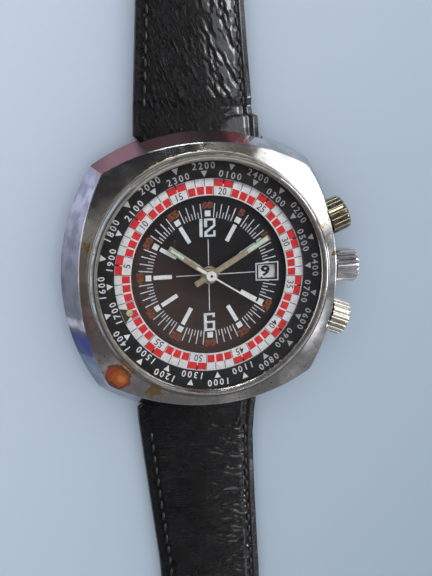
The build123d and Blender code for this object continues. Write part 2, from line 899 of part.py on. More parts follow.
# Movement holder between the movement and the case
holder_radius = movement_bore_radius - holder_outer_gap
holder_bottom = foot_height + back_wall_height + back_fit_gap
with BuildPart() as movement_holder:
    with BuildSketch(Plane.XY.offset(holder_bottom)):
        Circle(holder_radius)
        Circle(holder_radius - holder_wall, mode=Mode.SUBTRACT)
    extrude(amount=holder_height)
    with BuildSketch(crown_plane(crown_bearings["crown_time"], plate_radius / 2)):
        Circle(stem_radius + stem_bore_gap)
    extrude(amount=plate_radius, mode=Mode.SUBTRACT)
    for node in ("crown_upper", "crown_lower"):
        with BuildSketch(crown_plane(crown_bearings[node], plate_radius / 2)):
            Circle(pilot_radius + pin_gap)
        extrude(amount=plate_radius, mode=Mode.SUBTRACT)
write(movement_holder, "movement_holder")

# Main plate with a skirt that carries the bridge, and holes for every arbor
bridge_top = bridge_bottom + bridge_thickness
with BuildPart() as main_plate:
    rod((0, 0), plate_radius, plate_bottom, plate_top)
    with BuildSketch(Plane.XY.offset(bridge_top)):
        Circle(plate_radius)
        Circle(plate_radius - plate_skirt_wall, mode=Mode.SUBTRACT)
    extrude(amount=plate_bottom - bridge_top)
    rod((0, 0), center_tube_radius + bearing_gap, 0, plate_top, mode=Mode.SUBTRACT)
    for center in (third_center, pallet_center, balance_center):
        rod(
            center,
            pivot_radius + bearing_gap,
            plate_bottom,
            plate_bottom + pinion_length + bearing_gap,
            mode=Mode.SUBTRACT,
        )
    rod(
        barrel_center,
        barrel_arbor_radius / 2 + bearing_gap,
        plate_bottom,
        plate_bottom + pinion_length + bearing_gap,
        mode=Mode.SUBTRACT,
    )
    with BuildSketch(crown_plane(crown_bearings["crown_time"], time_stem_end - bearing_gap)):
        Circle(time_stem_radius + bearing_gap)
    extrude(amount=plate_radius, mode=Mode.SUBTRACT)
    slot_middle = sliding_pinion_start + sliding_pinion_slot / 2 - pinion_side_gap
    slot_half = sliding_pinion_radius + pinion_pocket_gap
    with BuildSketch(Plane.XY.offset(plate_bottom)):
        with Locations((slot_middle, 0)):
            Rectangle(sliding_pinion_slot, 2 * slot_half)
    extrude(amount=plate_top - plate_bottom, mode=Mode.SUBTRACT)
    rod(motion_center, minute_post_radius, plate_top, motion_bottom + 2 * motion_step)
write(main_plate, "main_plate")

# Train bridge, open over the balance
with BuildPart() as train_bridge:
    with BuildSketch(Plane.XY.offset(bridge_bottom)):
        Circle(plate_radius)
        with Locations(balance_center):
            Circle(balance_radius + balance_rim, mode=Mode.SUBTRACT)
        with Locations((0, 0), third_center, escape_center):
            Circle(jewel_radius, mode=Mode.SUBTRACT)
        with Locations(barrel_center):
            Circle(barrel_arbor_radius / 2 + bearing_gap, mode=Mode.SUBTRACT)
        with Locations(pallet_center):
            Circle(pivot_radius + bearing_gap, mode=Mode.SUBTRACT)
    extrude(amount=bridge_thickness)
write(train_bridge, "train_bridge")

# Balance cock across the opening, with its foot on the plate's skirt
with BuildPart() as balance_cock:
    cock_foot = plate_radius - plate_skirt_wall
    cock_start = escape_distance + pallet_distance + balance_distance - jewel_radius * 2
    with BuildSketch(Plane.XY.offset(bridge_bottom)):
        with PolarLocations(0, 1, start_angle=escape_bearing):
            with Locations(((cock_start + cock_foot) / 2, 0)):
                Rectangle(cock_foot - cock_start, 4 * jewel_radius)
        with Locations(balance_center):
            Circle(2 * jewel_radius)
            Circle(jewel_radius, mode=Mode.SUBTRACT)
    extrude(amount=bridge_thickness)
write(balance_cock, "balance_cock")

# Jewels: ruby bearings in the bridge and the cock
with BuildPart() as jewels:
    with BuildSketch(Plane.XY.offset(bridge_top - jewel_thickness)):
        with Locations((0, 0), third_center, escape_center, balance_center):
            Circle(jewel_radius)
            Circle(pivot_radius + bearing_gap, mode=Mode.SUBTRACT)
    extrude(amount=jewel_thickness)
write(jewels, "jewels")

# Bridge screws with slotted heads
with BuildPart() as bridge_screws:
    for bearing in screw_bearings:
        rod(
            polar(screw_reach, bearing),
            screw_head_radius,
            bridge_bottom - screw_head_height,
            bridge_bottom,
        )
    with BuildSketch(Plane.XY.offset(bridge_bottom - screw_head_height)):
        for bearing in screw_bearings:
            with Locations(polar(screw_reach, bearing)):
                Rectangle(2 * screw_head_radius, screw_slot_width)
    extrude(amount=screw_slot_depth, mode=Mode.SUBTRACT)
write(bridge_screws, "bridge_screws")


# Centre wheel: hollow arbor, wheel and the pinion that the barrel drives
with BuildPart() as center_wheel:
    spoked_wheel(
        center_tooth_count,
        center_pitch,
        center_tooth,
        third_bearing,
        (0, 0),
        center_wheel_height,
        5,
    )
    toothed_disc(
        Plane.XY.offset(center_pinion_height),
        center_wheel_height - center_pinion_height,
        center_pinion_count,
        center_pinion_pitch,
        barrel_tooth,
        facing_phase(barrel_bearing + 180, center_pinion_count),
    )
    rod((0, 0), center_tube_radius, center_pinion_height, motion_bottom + motion_step)
    rod((0, 0), center_tube_bore, 0, dial_top, mode=Mode.SUBTRACT)
write(center_wheel, "center_wheel")

# Third wheel and its pinion
with BuildPart() as third_wheel:
    spoked_wheel(
        third_tooth_count,
        third_pitch,
        third_tooth,
        third_bearing + 180,
        third_center,
        third_wheel_height,
        4,
    )
    toothed_disc(
        Plane.XY.offset(center_wheel_height - pinion_side_gap),
        plate_bottom - center_wheel_height,
        third_pinion_count,
        third_pinion_pitch,
        center_tooth,
        facing_phase(third_bearing, third_pinion_count),
        third_center,
    )
    rod(third_center, arbor_radius, third_wheel_height, plate_bottom - bearing_gap)
    rod(third_center, pivot_radius, bridge_bottom, plate_bottom + pinion_length)
write(third_wheel, "third_wheel")

# Fourth wheel on the shaft that carries the seconds hand
with BuildPart() as fourth_wheel:
    spoked_wheel(
        fourth_tooth_count,
        fourth_pitch,
        fourth_tooth,
        escape_bearing,
        (0, 0),
        fourth_wheel_height,
        4,
    )
    pinion_top = third_wheel_height + wheel_thickness + pinion_side_gap
    toothed_disc(
        Plane.XY.offset(fourth_wheel_height + wheel_thickness),
        pinion_top - fourth_wheel_height - wheel_thickness,
        fourth_pinion_count,
        fourth_pinion_pitch,
        third_tooth,
        facing_phase(third_bearing + 180, fourth_pinion_count),
    )
    rod((0, 0), seconds_shaft_radius, fourth_wheel_height, second_hand_top)
    rod((0, 0), pivot_radius, bridge_bottom, fourth_wheel_height)
write(fourth_wheel, "fourth_wheel")

# Escape wheel with fifteen pointed teeth, and its pinion
with BuildPart() as escape_wheel:
    with BuildSketch(Plane.XY.offset(escape_wheel_height)):
        points = []
        for n in range(escape_tooth_count):
            start = escape_bearing + n * 360 / escape_tooth_count
            for radius, turn in (
                (escape_radius - escape_rim_inset / 2, 0),
                (escape_radius, 180 / escape_tooth_count),
                (escape_radius - escape_rim_inset / 2, 216 / escape_tooth_count),
            ):
                x, y = polar(radius, start + turn)
                points.append((escape_center[0] + x, escape_center[1] + y))
        with BuildLine():
            Polyline(*points, close=True)
        make_face()
        with Locations(escape_center):
            Circle(escape_radius - escape_rim_inset, mode=Mode.SUBTRACT)
            Circle(wheel_hub)
            with PolarLocations(0, 4):
                with Locations(((escape_radius - escape_rim_inset / 2) / 2, 0)):
                    Rectangle(escape_radius - escape_rim_inset / 2, wheel_spoke / 2)
    extrude(amount=wheel_thickness)
    toothed_disc(
        Plane.XY.offset(fourth_wheel_height - pinion_side_gap),
        pinion_length,
        escape_pinion_count,
        escape_pinion_pitch,
        fourth_tooth,
        facing_phase(escape_bearing, escape_pinion_count),
        escape_center,
    )
    escape_top = escape_wheel_height + wheel_thickness + pinion_side_gap
    rod(escape_center, arbor_radius, fourth_wheel_height, escape_top)
    rod(escape_center, pivot_radius, bridge_bottom, fourth_wheel_height)
write(escape_wheel, "escape_wheel")

# Barrel with its toothed rim, and the arbor that it turns on
with BuildPart() as barrel:
    drum_radius = barrel_pitch - barrel_tooth
    rod(barrel_center, drum_radius, barrel_height, barrel_height + barrel_thickness)
    toothed_disc(
        Plane.XY.offset(center_pinion_height),
        barrel_height + barrel_thickness - center_pinion_height,
        barrel_tooth_count,
        barrel_pitch,
        barrel_tooth,
        barrel_bearing + 180,
        barrel_center,
    )
    rod(
        barrel_center,
        barrel_arbor_radius + bearing_gap,
        0,
        dial_height,
        mode=Mode.SUBTRACT,
    )
write(barrel, "barrel")

with BuildPart() as barrel_arbor:
    rod(barrel_center, barrel_arbor_radius, bridge_top, plate_bottom)
    rod(barrel_center, barrel_arbor_radius / 2, bridge_bottom, plate_bottom + pinion_length)
write(barrel_arbor, "barrel_arbor")

# Pallet fork: two pallets astride the escape wheel, a slotted tail to the balance
with BuildPart() as pallet_fork:
    fork_plane = Plane(
        origin=(pallet_center[0], pallet_center[1], escape_wheel_height),
        x_dir=(*polar(1, escape_bearing), 0),
        z_dir=(0, 0, 1),
    )
    tail_end = balance_distance - roller_radius - fork_end_gap
    with BuildSketch(fork_plane):
        Circle(2 * pivot_radius + fork_width / 2)
        with Locations((tail_end / 2, 0)):
            Rectangle(tail_end, fork_width)
        Rectangle(fork_width, 2 * fork_span)
        for side in (1, -1):
            with Locations((-fork_pallet_length / 2, side * (fork_span - fork_width / 2))):
                Rectangle(fork_pallet_length, fork_width)
        with Locations((tail_end - fork_width / 2, 0)):
            Rectangle(fork_width, 2 * fork_horn)
    extrude(amount=wheel_thickness)
    rod(pallet_center, pivot_radius, bridge_bottom, plate_bottom + pinion_length)
write(pallet_fork, "pallet_fork")

# Balance wheel with its staff, roller and impulse pin
with BuildPart() as balance_wheel:
    with BuildSketch(Plane.XY.offset(balance_height)):
        with Locations(balance_center):
            Circle(balance_radius)
            Circle(balance_radius - balance_rim, mode=Mode.SUBTRACT)
            Rectangle(2 * balance_radius - balance_rim, balance_rim)
            Circle(balance_rim)
    extrude(amount=balance_thickness)
    rod(balance_center, arbor_radius, balance_height, plate_bottom - bearing_gap)
    rod(balance_center, pivot_radius, bridge_bottom, plate_bottom + pinion_length)
    rod(balance_center, roller_radius, roller_height - wheel_thickness, roller_height)
    pin_reach = escape_distance + pallet_distance + balance_distance - impulse_pin_reach
    rod(
        polar(pin_reach, escape_bearing),
        impulse_pin_radius,
        roller_height,
        roller_height + 2 * wheel_thickness,
    )
write(balance_wheel, "balance_wheel")


# Hairspring: a flat spiral around the balance staff
with BuildPart() as hairspring:
    turns = hairspring_turns * hairspring_steps
    rise = (hairspring_radius - hairspring_inner_radius) / turns
    outer, inner = [], []
    for n in range(turns + 1):
        bearing = 360 * n / hairspring_steps
        x, y = polar(hairspring_inner_radius + n * rise + hairspring_width, bearing)
        outer.append((balance_center[0] + x, balance_center[1] + y))
        x, y = polar(hairspring_inner_radius + n * rise, bearing)
        inner.append((balance_center[0] + x, balance_center[1] + y))
    with BuildSketch(Plane.XY.offset(hairspring_height)):
        with BuildLine():
            Polyline(*outer, *reversed(inner), close=True)
        make_face()
    extrude(amount=hairspring_depth)
write(hairspring, "hairspring")

# Motion work: cannon pinion, minute wheel and hour wheel
with BuildPart() as cannon_pinion:
    toothed_disc(
        Plane.XY.offset(motion_bottom),
        motion_thickness,
        cannon_tooth_count,
        cannon_pitch,
        cannon_tooth,
        motion_bearing,
    )
    rod((0, 0), cannon_radius, motion_bottom, minute_hand_height + hand_thickness)
    rod((0, 0), cannon_bore, 0, second_hand_height, mode=Mode.SUBTRACT)
write(cannon_pinion, "cannon_pinion")

with BuildPart() as minute_wheel:
    toothed_disc(
        Plane.XY.offset(motion_bottom),
        motion_thickness,
        minute_wheel_count,
        minute_wheel_pitch,
        cannon_tooth,
        facing_phase(motion_bearing, minute_wheel_count),
        motion_center,
    )
    toothed_disc(
        Plane.XY.offset(motion_bottom + motion_thickness),
        motion_step,
        minute_pinion_count,
        minute_pinion_pitch,
        hour_tooth,
        facing_phase(motion_bearing, minute_pinion_count),
        motion_center,
    )
    rod(motion_center, minute_post_radius + bearing_gap, 0, dial_height, mode=Mode.SUBTRACT)
write(minute_wheel, "minute_wheel")

with BuildPart() as hour_wheel:
    toothed_disc(
        Plane.XY.offset(motion_bottom + motion_step),
        motion_thickness,
        hour_tooth_count,
        hour_pitch,
        hour_tooth,
        motion_bearing,
    )
    rod(
        (0, 0),
        hour_pipe_radius,
        motion_bottom + motion_step,
        hour_hand_height + hand_thickness,
    )
    rod((0, 0), hour_pipe_bore, 0, second_hand_height, mode=Mode.SUBTRACT)
write(hour_wheel, "hour_wheel")

# Winding rotor: a weighted half ring on a centre bearing
with BuildPart() as rotor:
    with BuildSketch(Plane.XY.offset(rotor_web_bottom)):
        with BuildLine():
            CenterArc((0, 0), rotor_radius, -rotor_arc / 2, rotor_arc)
            start = polar(rotor_radius, rotor_arc / 2)
            end = polar(rotor_radius, -rotor_arc / 2)
            Polyline(start, (0, 0), end)
        make_face()
        Circle(2 * rotor_bearing_radius)
        Circle(rotor_bearing_radius, mode=Mode.SUBTRACT)
    extrude(amount=rotor_top - rotor_web_bottom)
    with BuildSketch(Plane.XY.offset(rotor_rim_bottom)):
        with BuildLine():
            CenterArc((0, 0), rotor_radius, -rotor_arc / 2, rotor_arc)
            inner = rotor_radius - rotor_rim
            Line(polar(rotor_radius, rotor_arc / 2), polar(inner, rotor_arc / 2))
            CenterArc((0, 0), inner, rotor_arc / 2, -rotor_arc)
            Line(polar(inner, -rotor_arc / 2), polar(rotor_radius, -rotor_arc / 2))
        make_face()
    extrude(amount=rotor_web_bottom - rotor_rim_bottom)
write(rotor, "rotor")

with BuildPart() as rotor_bearing:
    bearing_radius = rotor_bearing_radius - bearing_gap
    rod((0, 0), bearing_radius, rotor_web_bottom - rotor_screw_height, bridge_bottom)
    rod(
        (0, 0),
        bearing_radius + 2 * bearing_gap + rotor_screw_height,
        rotor_web_bottom - rotor_screw_height - bearing_gap,
        rotor_web_bottom - bearing_gap,
    )
    rod((0, 0), pivot_radius + bearing_gap, 0, bridge_bottom, mode=Mode.SUBTRACT)
write(rotor_bearing, "rotor_bearing")


# Spring bars under the overhang, one for each strap half
for node, side in (("spring_bar_upper", 1), ("spring_bar_lower", -1)):
    with BuildPart() as spring_bar:
        with BuildSketch(Plane.YZ):
            with Locations((side * lug_bar_reach, lug_bar_height)):
                Circle(lug_bar_radius)
        extrude(amount=bar_span / 2, both=True)
    write(spring_bar, node)


def strap_profile(side, rise, flat_end, ending):
    """Side view: round at the spring bar, thinning down to its underside."""
    bend_low = lug_bar_height - strap_lug_radius
    return [
        (side * lug_bar_reach, lug_bar_height - strap_lug_radius),
        (side * (lug_bar_reach + strap_lug_radius), max(rise, bend_low - strap_lug_radius / 4)),
        (side * strap_bend_reach, rise),
        (side * flat_end, rise),
        *ending,
        (side * flat_end, rise + strap_end_thickness),
        (side * strap_bend_reach, rise + strap_thickness),
        (side * (half_case + strap_lug_radius), lug_bar_height + strap_lug_radius / 2),
        (side * lug_bar_reach, lug_bar_height + strap_lug_radius),
    ]



# Strap half with the buckle, on the 12 side, lifted by the keepers around it
keeper_rise = keeper_wall + keeper_gap / 2
buckle_bar_reach = half_case + buckle_half_length
with BuildPart() as strap_buckle_half:
    with BuildSketch(Plane.YZ):
        with BuildLine():
            loop_end = [
                (buckle_bar_reach, buckle_bar_height - buckle_loop_radius),
                (buckle_bar_reach, buckle_bar_height + buckle_loop_radius),
            ]
            flat_end = buckle_bar_reach - buckle_loop_run
            Polyline(*strap_profile(1, keeper_rise, flat_end, loop_end), close=True)
        make_face()
        with Locations((lug_bar_reach, lug_bar_height)):
            Circle(strap_lug_radius)
        with Locations((buckle_bar_reach, buckle_bar_height)):
            Circle(buckle_loop_radius)
            Circle(buckle_bar_radius + pin_gap, mode=Mode.SUBTRACT)
        with Locations((lug_bar_reach, lug_bar_height)):
            Circle(lug_bar_radius + pin_gap, mode=Mode.SUBTRACT)
    extrude(amount=strap_width / 2, both=True)
    with BuildSketch():
        start = lug_bar_reach - strap_lug_radius
        taper = half_case + strap_taper_start
        strap_end = buckle_bar_reach + buckle_loop_radius
        with BuildLine():
            Polyline(
                (-strap_width / 2, start),
                (-strap_width / 2, taper),
                (-strap_end_width / 2, strap_end),
                (strap_end_width / 2, strap_end),
                (strap_width / 2, taper),
                (strap_width / 2, start),
                close=True,
            )
        make_face()
    extrude(amount=lug_bar_height + 2 * strap_lug_radius, mode=Mode.INTERSECT)
    slot_half_width = tang_width / 2 + tang_slot_gap
    slot_start = buckle_bar_reach - 2 * buckle_loop_radius - tang_slot_gap
    with BuildSketch():
        with Locations((0, (slot_start + buckle_bar_reach + 2 * buckle_loop_radius) / 2)):
            slot_span = buckle_bar_reach + 2 * buckle_loop_radius - slot_start
            Rectangle(2 * slot_half_width, slot_span)
    extrude(amount=lug_bar_height + 2 * strap_lug_radius, mode=Mode.SUBTRACT)
write(strap_buckle_half, "strap_buckle_half")

# Strap half with the holes and the tongue, on the 6 side
hole_end_reach = half_case + hole_half_length
with BuildPart() as strap_hole_half:
    with BuildSketch(Plane.YZ):
        with BuildLine():
            Polyline(*strap_profile(-1, 0, hole_end_reach, []), close=True)
        make_face()
        with Locations((-lug_bar_reach, lug_bar_height)):
            Circle(strap_lug_radius)
        with Locations((-lug_bar_reach, lug_bar_height)):
            Circle(lug_bar_radius + pin_gap, mode=Mode.SUBTRACT)
    extrude(amount=strap_width / 2, both=True)
    with BuildSketch():
        start = lug_bar_reach - strap_lug_radius
        with BuildLine():
            tip_start = hole_end_reach - tip_length
            Polyline(
                (strap_end_width / 2, -tip_start),
                (strap_width / 2, -half_case - strap_taper_start),
                (strap_width / 2, -start),
                (-strap_width / 2, -start),
                (-strap_width / 2, -half_case - strap_taper_start),
                (-strap_end_width / 2, -tip_start),
            )
            ThreePointArc(
                (-strap_end_width / 2, -tip_start),
                (0, -hole_end_reach),
                (strap_end_width / 2, -tip_start),
            )
        make_face()
        for n in range(strap_hole_count):
            reach = hole_end_reach - strap_hole_start - n * strap_hole_pitch
            with Locations((0, -reach)):
                Circle(strap_hole_radius, mode=Mode.SUBTRACT)
    extrude(amount=lug_bar_height + 2 * strap_lug_radius, mode=Mode.INTERSECT)
write(strap_hole_half, "strap_hole_half")


# Buckle: bar through the strap's loop, frame around it, tang on the bar
arm_inner = strap_end_width / 2 + buckle_side_gap
arm_outer = arm_inner + buckle_wall
buckle_front = buckle_bar_reach + buckle_length
buckle_back = buckle_bar_reach - buckle_bar_radius - buckle_wall / 2
buckle_bottom = buckle_bar_height - buckle_thickness / 2
with BuildPart() as buckle_frame:
    with BuildSketch(Plane.XY.offset(buckle_bottom)) as frame_outline:
        with Locations((0, (buckle_front + buckle_wall + buckle_back) / 2)):
            Rectangle(2 * arm_outer, buckle_front + buckle_wall - buckle_back)
        fillet(frame_outline.vertices().group_by(Axis.Y)[-1], buckle_wall)
        with Locations((0, (buckle_front + buckle_back) / 2 - overrun / 2)):
            Rectangle(
                2 * arm_inner, buckle_front - buckle_back + overrun, mode=Mode.SUBTRACT
            )
    extrude(amount=buckle_thickness)
    chamfer(buckle_frame.edges().group_by(Axis.Z)[-1], buckle_round / 2)
    with BuildSketch(Plane.YZ):
        with Locations((buckle_bar_reach, buckle_bar_height)):
            Circle(buckle_bar_radius + pin_gap)
    extrude(
        amount=arm_outer - buckle_bar_end_gap + pin_gap, both=True, mode=Mode.SUBTRACT
    )
write(buckle_frame, "buckle_frame")

with BuildPart() as buckle_bar:
    with BuildSketch(Plane.YZ):
        with Locations((buckle_bar_reach, buckle_bar_height)):
            Circle(buckle_bar_radius)
    extrude(amount=arm_outer - buckle_bar_end_gap, both=True)
write(buckle_bar, "buckle_bar")

with BuildPart() as buckle_tang:
    tang_bottom = buckle_bottom + buckle_thickness + tang_gap
    tang_end = buckle_front + buckle_wall + tang_overhang
    loop_radius = buckle_bar_radius + pin_gap + tang_thickness * 2 / 3
    with BuildSketch(Plane.YZ):
        with BuildLine():
            Polyline(
                (buckle_bar_reach, buckle_bar_height),
                (buckle_bar_reach, buckle_bar_height + loop_radius),
                (buckle_bar_reach + loop_radius, tang_bottom + tang_thickness),
                (tang_end, tang_bottom + tang_thickness),
                (tang_end, tang_bottom),
                (buckle_bar_reach + loop_radius, tang_bottom),
                close=True,
            )
        make_face()
        with Locations((buckle_bar_reach, buckle_bar_height)):
            Circle(loop_radius)
            Circle(buckle_bar_radius + pin_gap, mode=Mode.SUBTRACT)
    extrude(amount=tang_width / 2, both=True)
write(buckle_tang, "buckle_tang")


def keeper(reach, raised):
    """Leather band around the strap, open along it."""
    half_inner = strap_width / 2 + keeper_gap
    with BuildSketch(Plane.XZ.offset(-reach - keeper_length / 2)) as loop:
        with Locations((0, raised + keeper_height / 2)):
            Rectangle(2 * (half_inner + keeper_wall), keeper_height)
        fillet(loop.vertices(), keeper_round)
        with Locations((0, raised + keeper_height / 2)):
            Rectangle(
                2 * half_inner, keeper_height - 2 * keeper_wall, mode=Mode.SUBTRACT
            )
    extrude(loop.sketch, amount=keeper_length)


fixed_keeper_reach = buckle_bar_reach - fixed_keeper_setback
free_keeper_reach = fixed_keeper_reach - keeper_spacing
with BuildPart() as keeper_free:
    keeper(free_keeper_reach, 0)
write(keeper_free, "keeper_free")

with BuildPart() as keeper_fixed:
    keeper(fixed_keeper_reach, 0)
write(keeper_fixed, "keeper_fixed")
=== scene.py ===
import math
import random

import bmesh
import bpy
from mathutils import Matrix, Vector


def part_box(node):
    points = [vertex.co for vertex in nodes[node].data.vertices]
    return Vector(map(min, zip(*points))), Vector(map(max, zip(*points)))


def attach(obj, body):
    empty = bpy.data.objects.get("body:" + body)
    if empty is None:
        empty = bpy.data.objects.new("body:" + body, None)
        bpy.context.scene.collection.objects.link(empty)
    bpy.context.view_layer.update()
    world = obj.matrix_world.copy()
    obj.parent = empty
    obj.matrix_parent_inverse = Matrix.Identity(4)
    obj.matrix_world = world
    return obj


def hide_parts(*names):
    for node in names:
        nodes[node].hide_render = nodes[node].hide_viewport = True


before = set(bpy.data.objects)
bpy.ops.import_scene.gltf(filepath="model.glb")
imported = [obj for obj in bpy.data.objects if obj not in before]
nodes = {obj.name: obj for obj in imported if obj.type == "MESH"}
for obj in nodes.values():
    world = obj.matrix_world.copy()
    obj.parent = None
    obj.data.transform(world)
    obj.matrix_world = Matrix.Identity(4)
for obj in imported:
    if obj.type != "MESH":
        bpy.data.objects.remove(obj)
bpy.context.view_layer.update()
mm = 0.001

# Camera: it stands above the upper left of the dial, as in the photograph. Its turn
# and shift were fitted to the bezel, the rings and the crowns.
camera_turn = (0.1737, 0.2512, 0.0201)
camera_shift = Vector((-2.664, 3.076, -175.0)) * mm
focal_pixels = 1128.7
picture_width = 432
sensor_width = 36.0
nearest_drawn = 10 * mm
world_to_view = (
    Matrix.Rotation(camera_turn[0], 3, "X")
    @ Matrix.Rotation(camera_turn[1], 3, "Y")
    @ Matrix.Rotation(camera_turn[2], 3, "Z")
)
view_to_world = world_to_view.transposed()
camera_data = bpy.data.cameras.new("camera")
camera_data.sensor_fit = "HORIZONTAL"
camera_data.sensor_width = sensor_width
camera_data.lens = focal_pixels / picture_width * sensor_width
camera_data.clip_start = nearest_drawn
camera = bpy.data.objects.new("camera", camera_data)
camera.matrix_world = Matrix.Translation(-(view_to_world @ camera_shift)) @ view_to_world.to_4x4()
bpy.context.scene.collection.objects.link(camera)
bpy.context.scene.camera = camera
bpy.context.scene.view_settings.view_transform = "Standard"


# Floor: a plain pale blue-grey sheet that the watch lies on. Its colour carries a painted light
# falloff, lighter at the upper left and darker towards the lower right.
def add_node(tree, kind, inputs=None, **settings):
    """Node of a kind, with each input set to a value or linked to a socket."""
    made = tree.nodes.new(kind)
    for name, value in settings.items():
        setattr(made, name, value)
    for socket, value in (inputs or {}).items():
        if isinstance(value, bpy.types.NodeSocket):
            tree.links.new(value, made.inputs[socket])
        else:
            made.inputs[socket].default_value = value
    return made


def calculated(tree, operation, *values):
    """Result of a Math node on numbers or sockets."""
    made = add_node(tree, "ShaderNodeMath", dict(enumerate(values)), operation=operation)
    return made.outputs[0]


def object_place(tree):
    """The piece's own coordinates."""
    return add_node(tree, "ShaderNodeTexCoord").outputs["Object"]


def lean_along(tree, place, axis):
    """How far a place or a direction lies along an axis."""
    made = add_node(
        tree, "ShaderNodeVectorMath", {0: place, 1: Vector(axis)}, operation="DOT_PRODUCT"
    )
    return made.outputs["Value"]


def new_material(name, **sockets):
    """Material with its Principled shader set, and its tree to add patterns to."""
    material = bpy.data.materials.new(name)
    material.use_nodes = True
    shader = material.node_tree.nodes["Principled BSDF"]
    for socket, value in sockets.items():
        shader.inputs[socket.replace("_", " ")].default_value = value
    return material, material.node_tree, shader


def feed(tree, source, shader, socket):
    """Links an output to a named socket."""
    tree.links.new(source, shader.inputs[socket])


def ramp(tree, factor, stops):
    """Colour ramp through (position, colour) stops."""
    made = add_node(tree, "ShaderNodeValToRGB", {"Fac": factor})
    while len(made.color_ramp.elements) < len(stops):
        made.color_ramp.elements.new(0.5)
    for element, (position, colour) in zip(made.color_ramp.elements, stops):
        element.position = position
        element.color = (*colour, 1)
    return made.outputs["Color"]


def mesh_piece(name, shape, material, body=None, smooth=True):
    """Object from a bmesh, at the origin, that rides on its body."""
    mesh = bpy.data.meshes.new(name)
    shape.to_mesh(mesh)
    shape.free()
    for face in mesh.polygons:
        face.use_smooth = smooth
    mesh.materials.append(material)
    piece = bpy.data.objects.new(name, mesh)
    bpy.context.scene.collection.objects.link(piece)
    if body:
        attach(piece, body)
    return piece


floor_size = 3.0
floor_drop = 0.05 * mm
floor_light_side = Vector((-0.75, 0.66, 0))
floor_shade_reach = 70 * mm
# Painted light falloff: the floor runs from painted shade at the lower right to painted light at the
# upper left.
floor_painted_shade, floor_painted_light = (0.303, 0.379, 0.443), (0.555, 0.631, 0.750)
floor_material, floor_tree, floor_shader = new_material("floor", Roughness=0.9)
floor_run = lean_along(
    floor_tree, object_place(floor_tree), floor_light_side / (2 * floor_shade_reach)
)
floor_share = calculated(floor_tree, "ADD", floor_run, 0.5)
floor_painted_falloff = ramp(floor_tree, floor_share, [(0.0, floor_painted_shade), (1.0, floor_painted_light)])
feed(floor_tree, floor_painted_falloff, floor_shader, "Base Color")
floor_shape = bmesh.new()
bmesh.ops.create_grid(floor_shape, x_segments=4, y_segments=4, size=floor_size)
bmesh.ops.translate(floor_shape, verts=floor_shape.verts, vec=(0, 0, -floor_drop))
floor = mesh_piece("floor", floor_shape, floor_material)


# Light: an even pale sky lights the watch. Its polish mirrors a brown-grey room,
# darker at the upper left, with a white window on the right and some lamps.
def between(tree, value, low, high, out_low=0.0, out_high=1.0, interpolation="SMOOTHSTEP"):
    """Value carried from one pair of limits to another, and held beyond them."""
    made = add_node(
        tree,
        "ShaderNodeMapRange",
        {"Value": value, "From Min": low, "From Max": high, "To Min": out_low, "To Max": out_high},
        interpolation_type=interpolation,
    )
    return made.outputs["Result"]


def mixed(tree, factor, first, second):
    """Colour mixed from the first to the second by the factor."""
    made = add_node(tree, "ShaderNodeMix", {"Factor": factor}, data_type="RGBA")
    for socket, value in zip((made.inputs[6], made.inputs[7]), (first, second)):
        if isinstance(value, bpy.types.NodeSocket):
            tree.links.new(value, socket)
        else:
            socket.default_value = (*value, 1)
    return made.outputs[2]


def towards_share(tree, direction, axis, low, high):
    """How far a direction leans along an axis, from 0 to 1 between two limits."""
    return between(tree, lean_along(tree, direction, axis), low, high)


def shares_product(tree, *shares):
    """Share of a place that lies in all of several shares."""
    product = shares[0]
    for share in shares[1:]:
        product = calculated(tree, "MULTIPLY", product, share)
    return product


def within(tree, direction, edges):
    """Share of a direction inside soft edges, each an axis with two limits along it."""
    return shares_product(tree, *(towards_share(tree, direction, *edge) for edge in edges))


sky_colour = (0.95, 0.97, 1.0)
sky_strength = 1.0
window_colour = (1.9, 1.93, 1.98)
backdrop_colour = (0.42, 0.46, 0.54)
room_stops = [
    (-0.41, (0.050, 0.050, 0.055)), (-0.36, (0.070, 0.066, 0.070)), (-0.325, (0.055, 0.054, 0.055)),
    (-0.28, (0.23, 0.225, 0.21)), (-0.14, (0.20, 0.180, 0.158)), (0.0, (0.150, 0.132, 0.118)),
    (0.12, (0.115, 0.070, 0.069)), (0.25, (0.175, 0.160, 0.172)), (0.39, (0.205, 0.190, 0.200)),
    (0.66, (0.225, 0.220, 0.220)),
]
room_start, room_end, room_middle = -0.42, 0.74, 0.08
room_darkening = (0.35, -0.75, 0)
room_unevenness = 0.16
right_silver = (0.34, 0.345, 0.36)
right_side = ((1, 0, 0), 0.42, 0.85)
window_edges = (
    ((-0.342, 0.94, 0.0), -0.262, -0.228), ((0.927, -0.375, 0.0), 0.275, 0.30),
    ((-0.244, 0.17, -0.955), -0.972, -0.962),
)
soft_glare, lamp_glare = (1.5, 1.5, 1.6), (13.0, 13.4, 14.0)
left_glare_edges = (((-1, 0, 0), 0.80, 0.88), ((0, 0, 1), 0.26, 0.32))
under_horizon = ((0, 0, -1), -0.16, -0.04)
soft_glares = (
    ((-0.76, 0.05, 0.65), 0.960, 0.978), ((-0.69, 0.33, 0.64), 0.955, 0.975),
    ((0.66, -0.375, 0.654), 0.989, 0.996),
)
lamp_glares = (
    ((0.96, -0.15, 0.22), 0.978, 0.990), ((0.05, 0.72, 0.69), 0.980, 0.990),
    ((0.70, 0.21, 0.68), 0.985, 0.993),
)
world = bpy.data.worlds.new("sky")
world.use_nodes = True
bpy.context.scene.world = world
sky_tree = world.node_tree
towards = add_node(sky_tree, "ShaderNodeTexCoord").outputs["Generated"]
room_spots = add_node(
    sky_tree, "ShaderNodeTexNoise", {"Vector": towards, "Scale": 9.0, "Detail": 6.0}
).outputs["Fac"]
room_lean = lean_along(sky_tree, towards, room_darkening)
room_uneven = calculated(sky_tree, "MULTIPLY_ADD", room_spots, room_unevenness, room_lean)
room_run = between(sky_tree, room_uneven, room_start, room_end, interpolation="LINEAR")
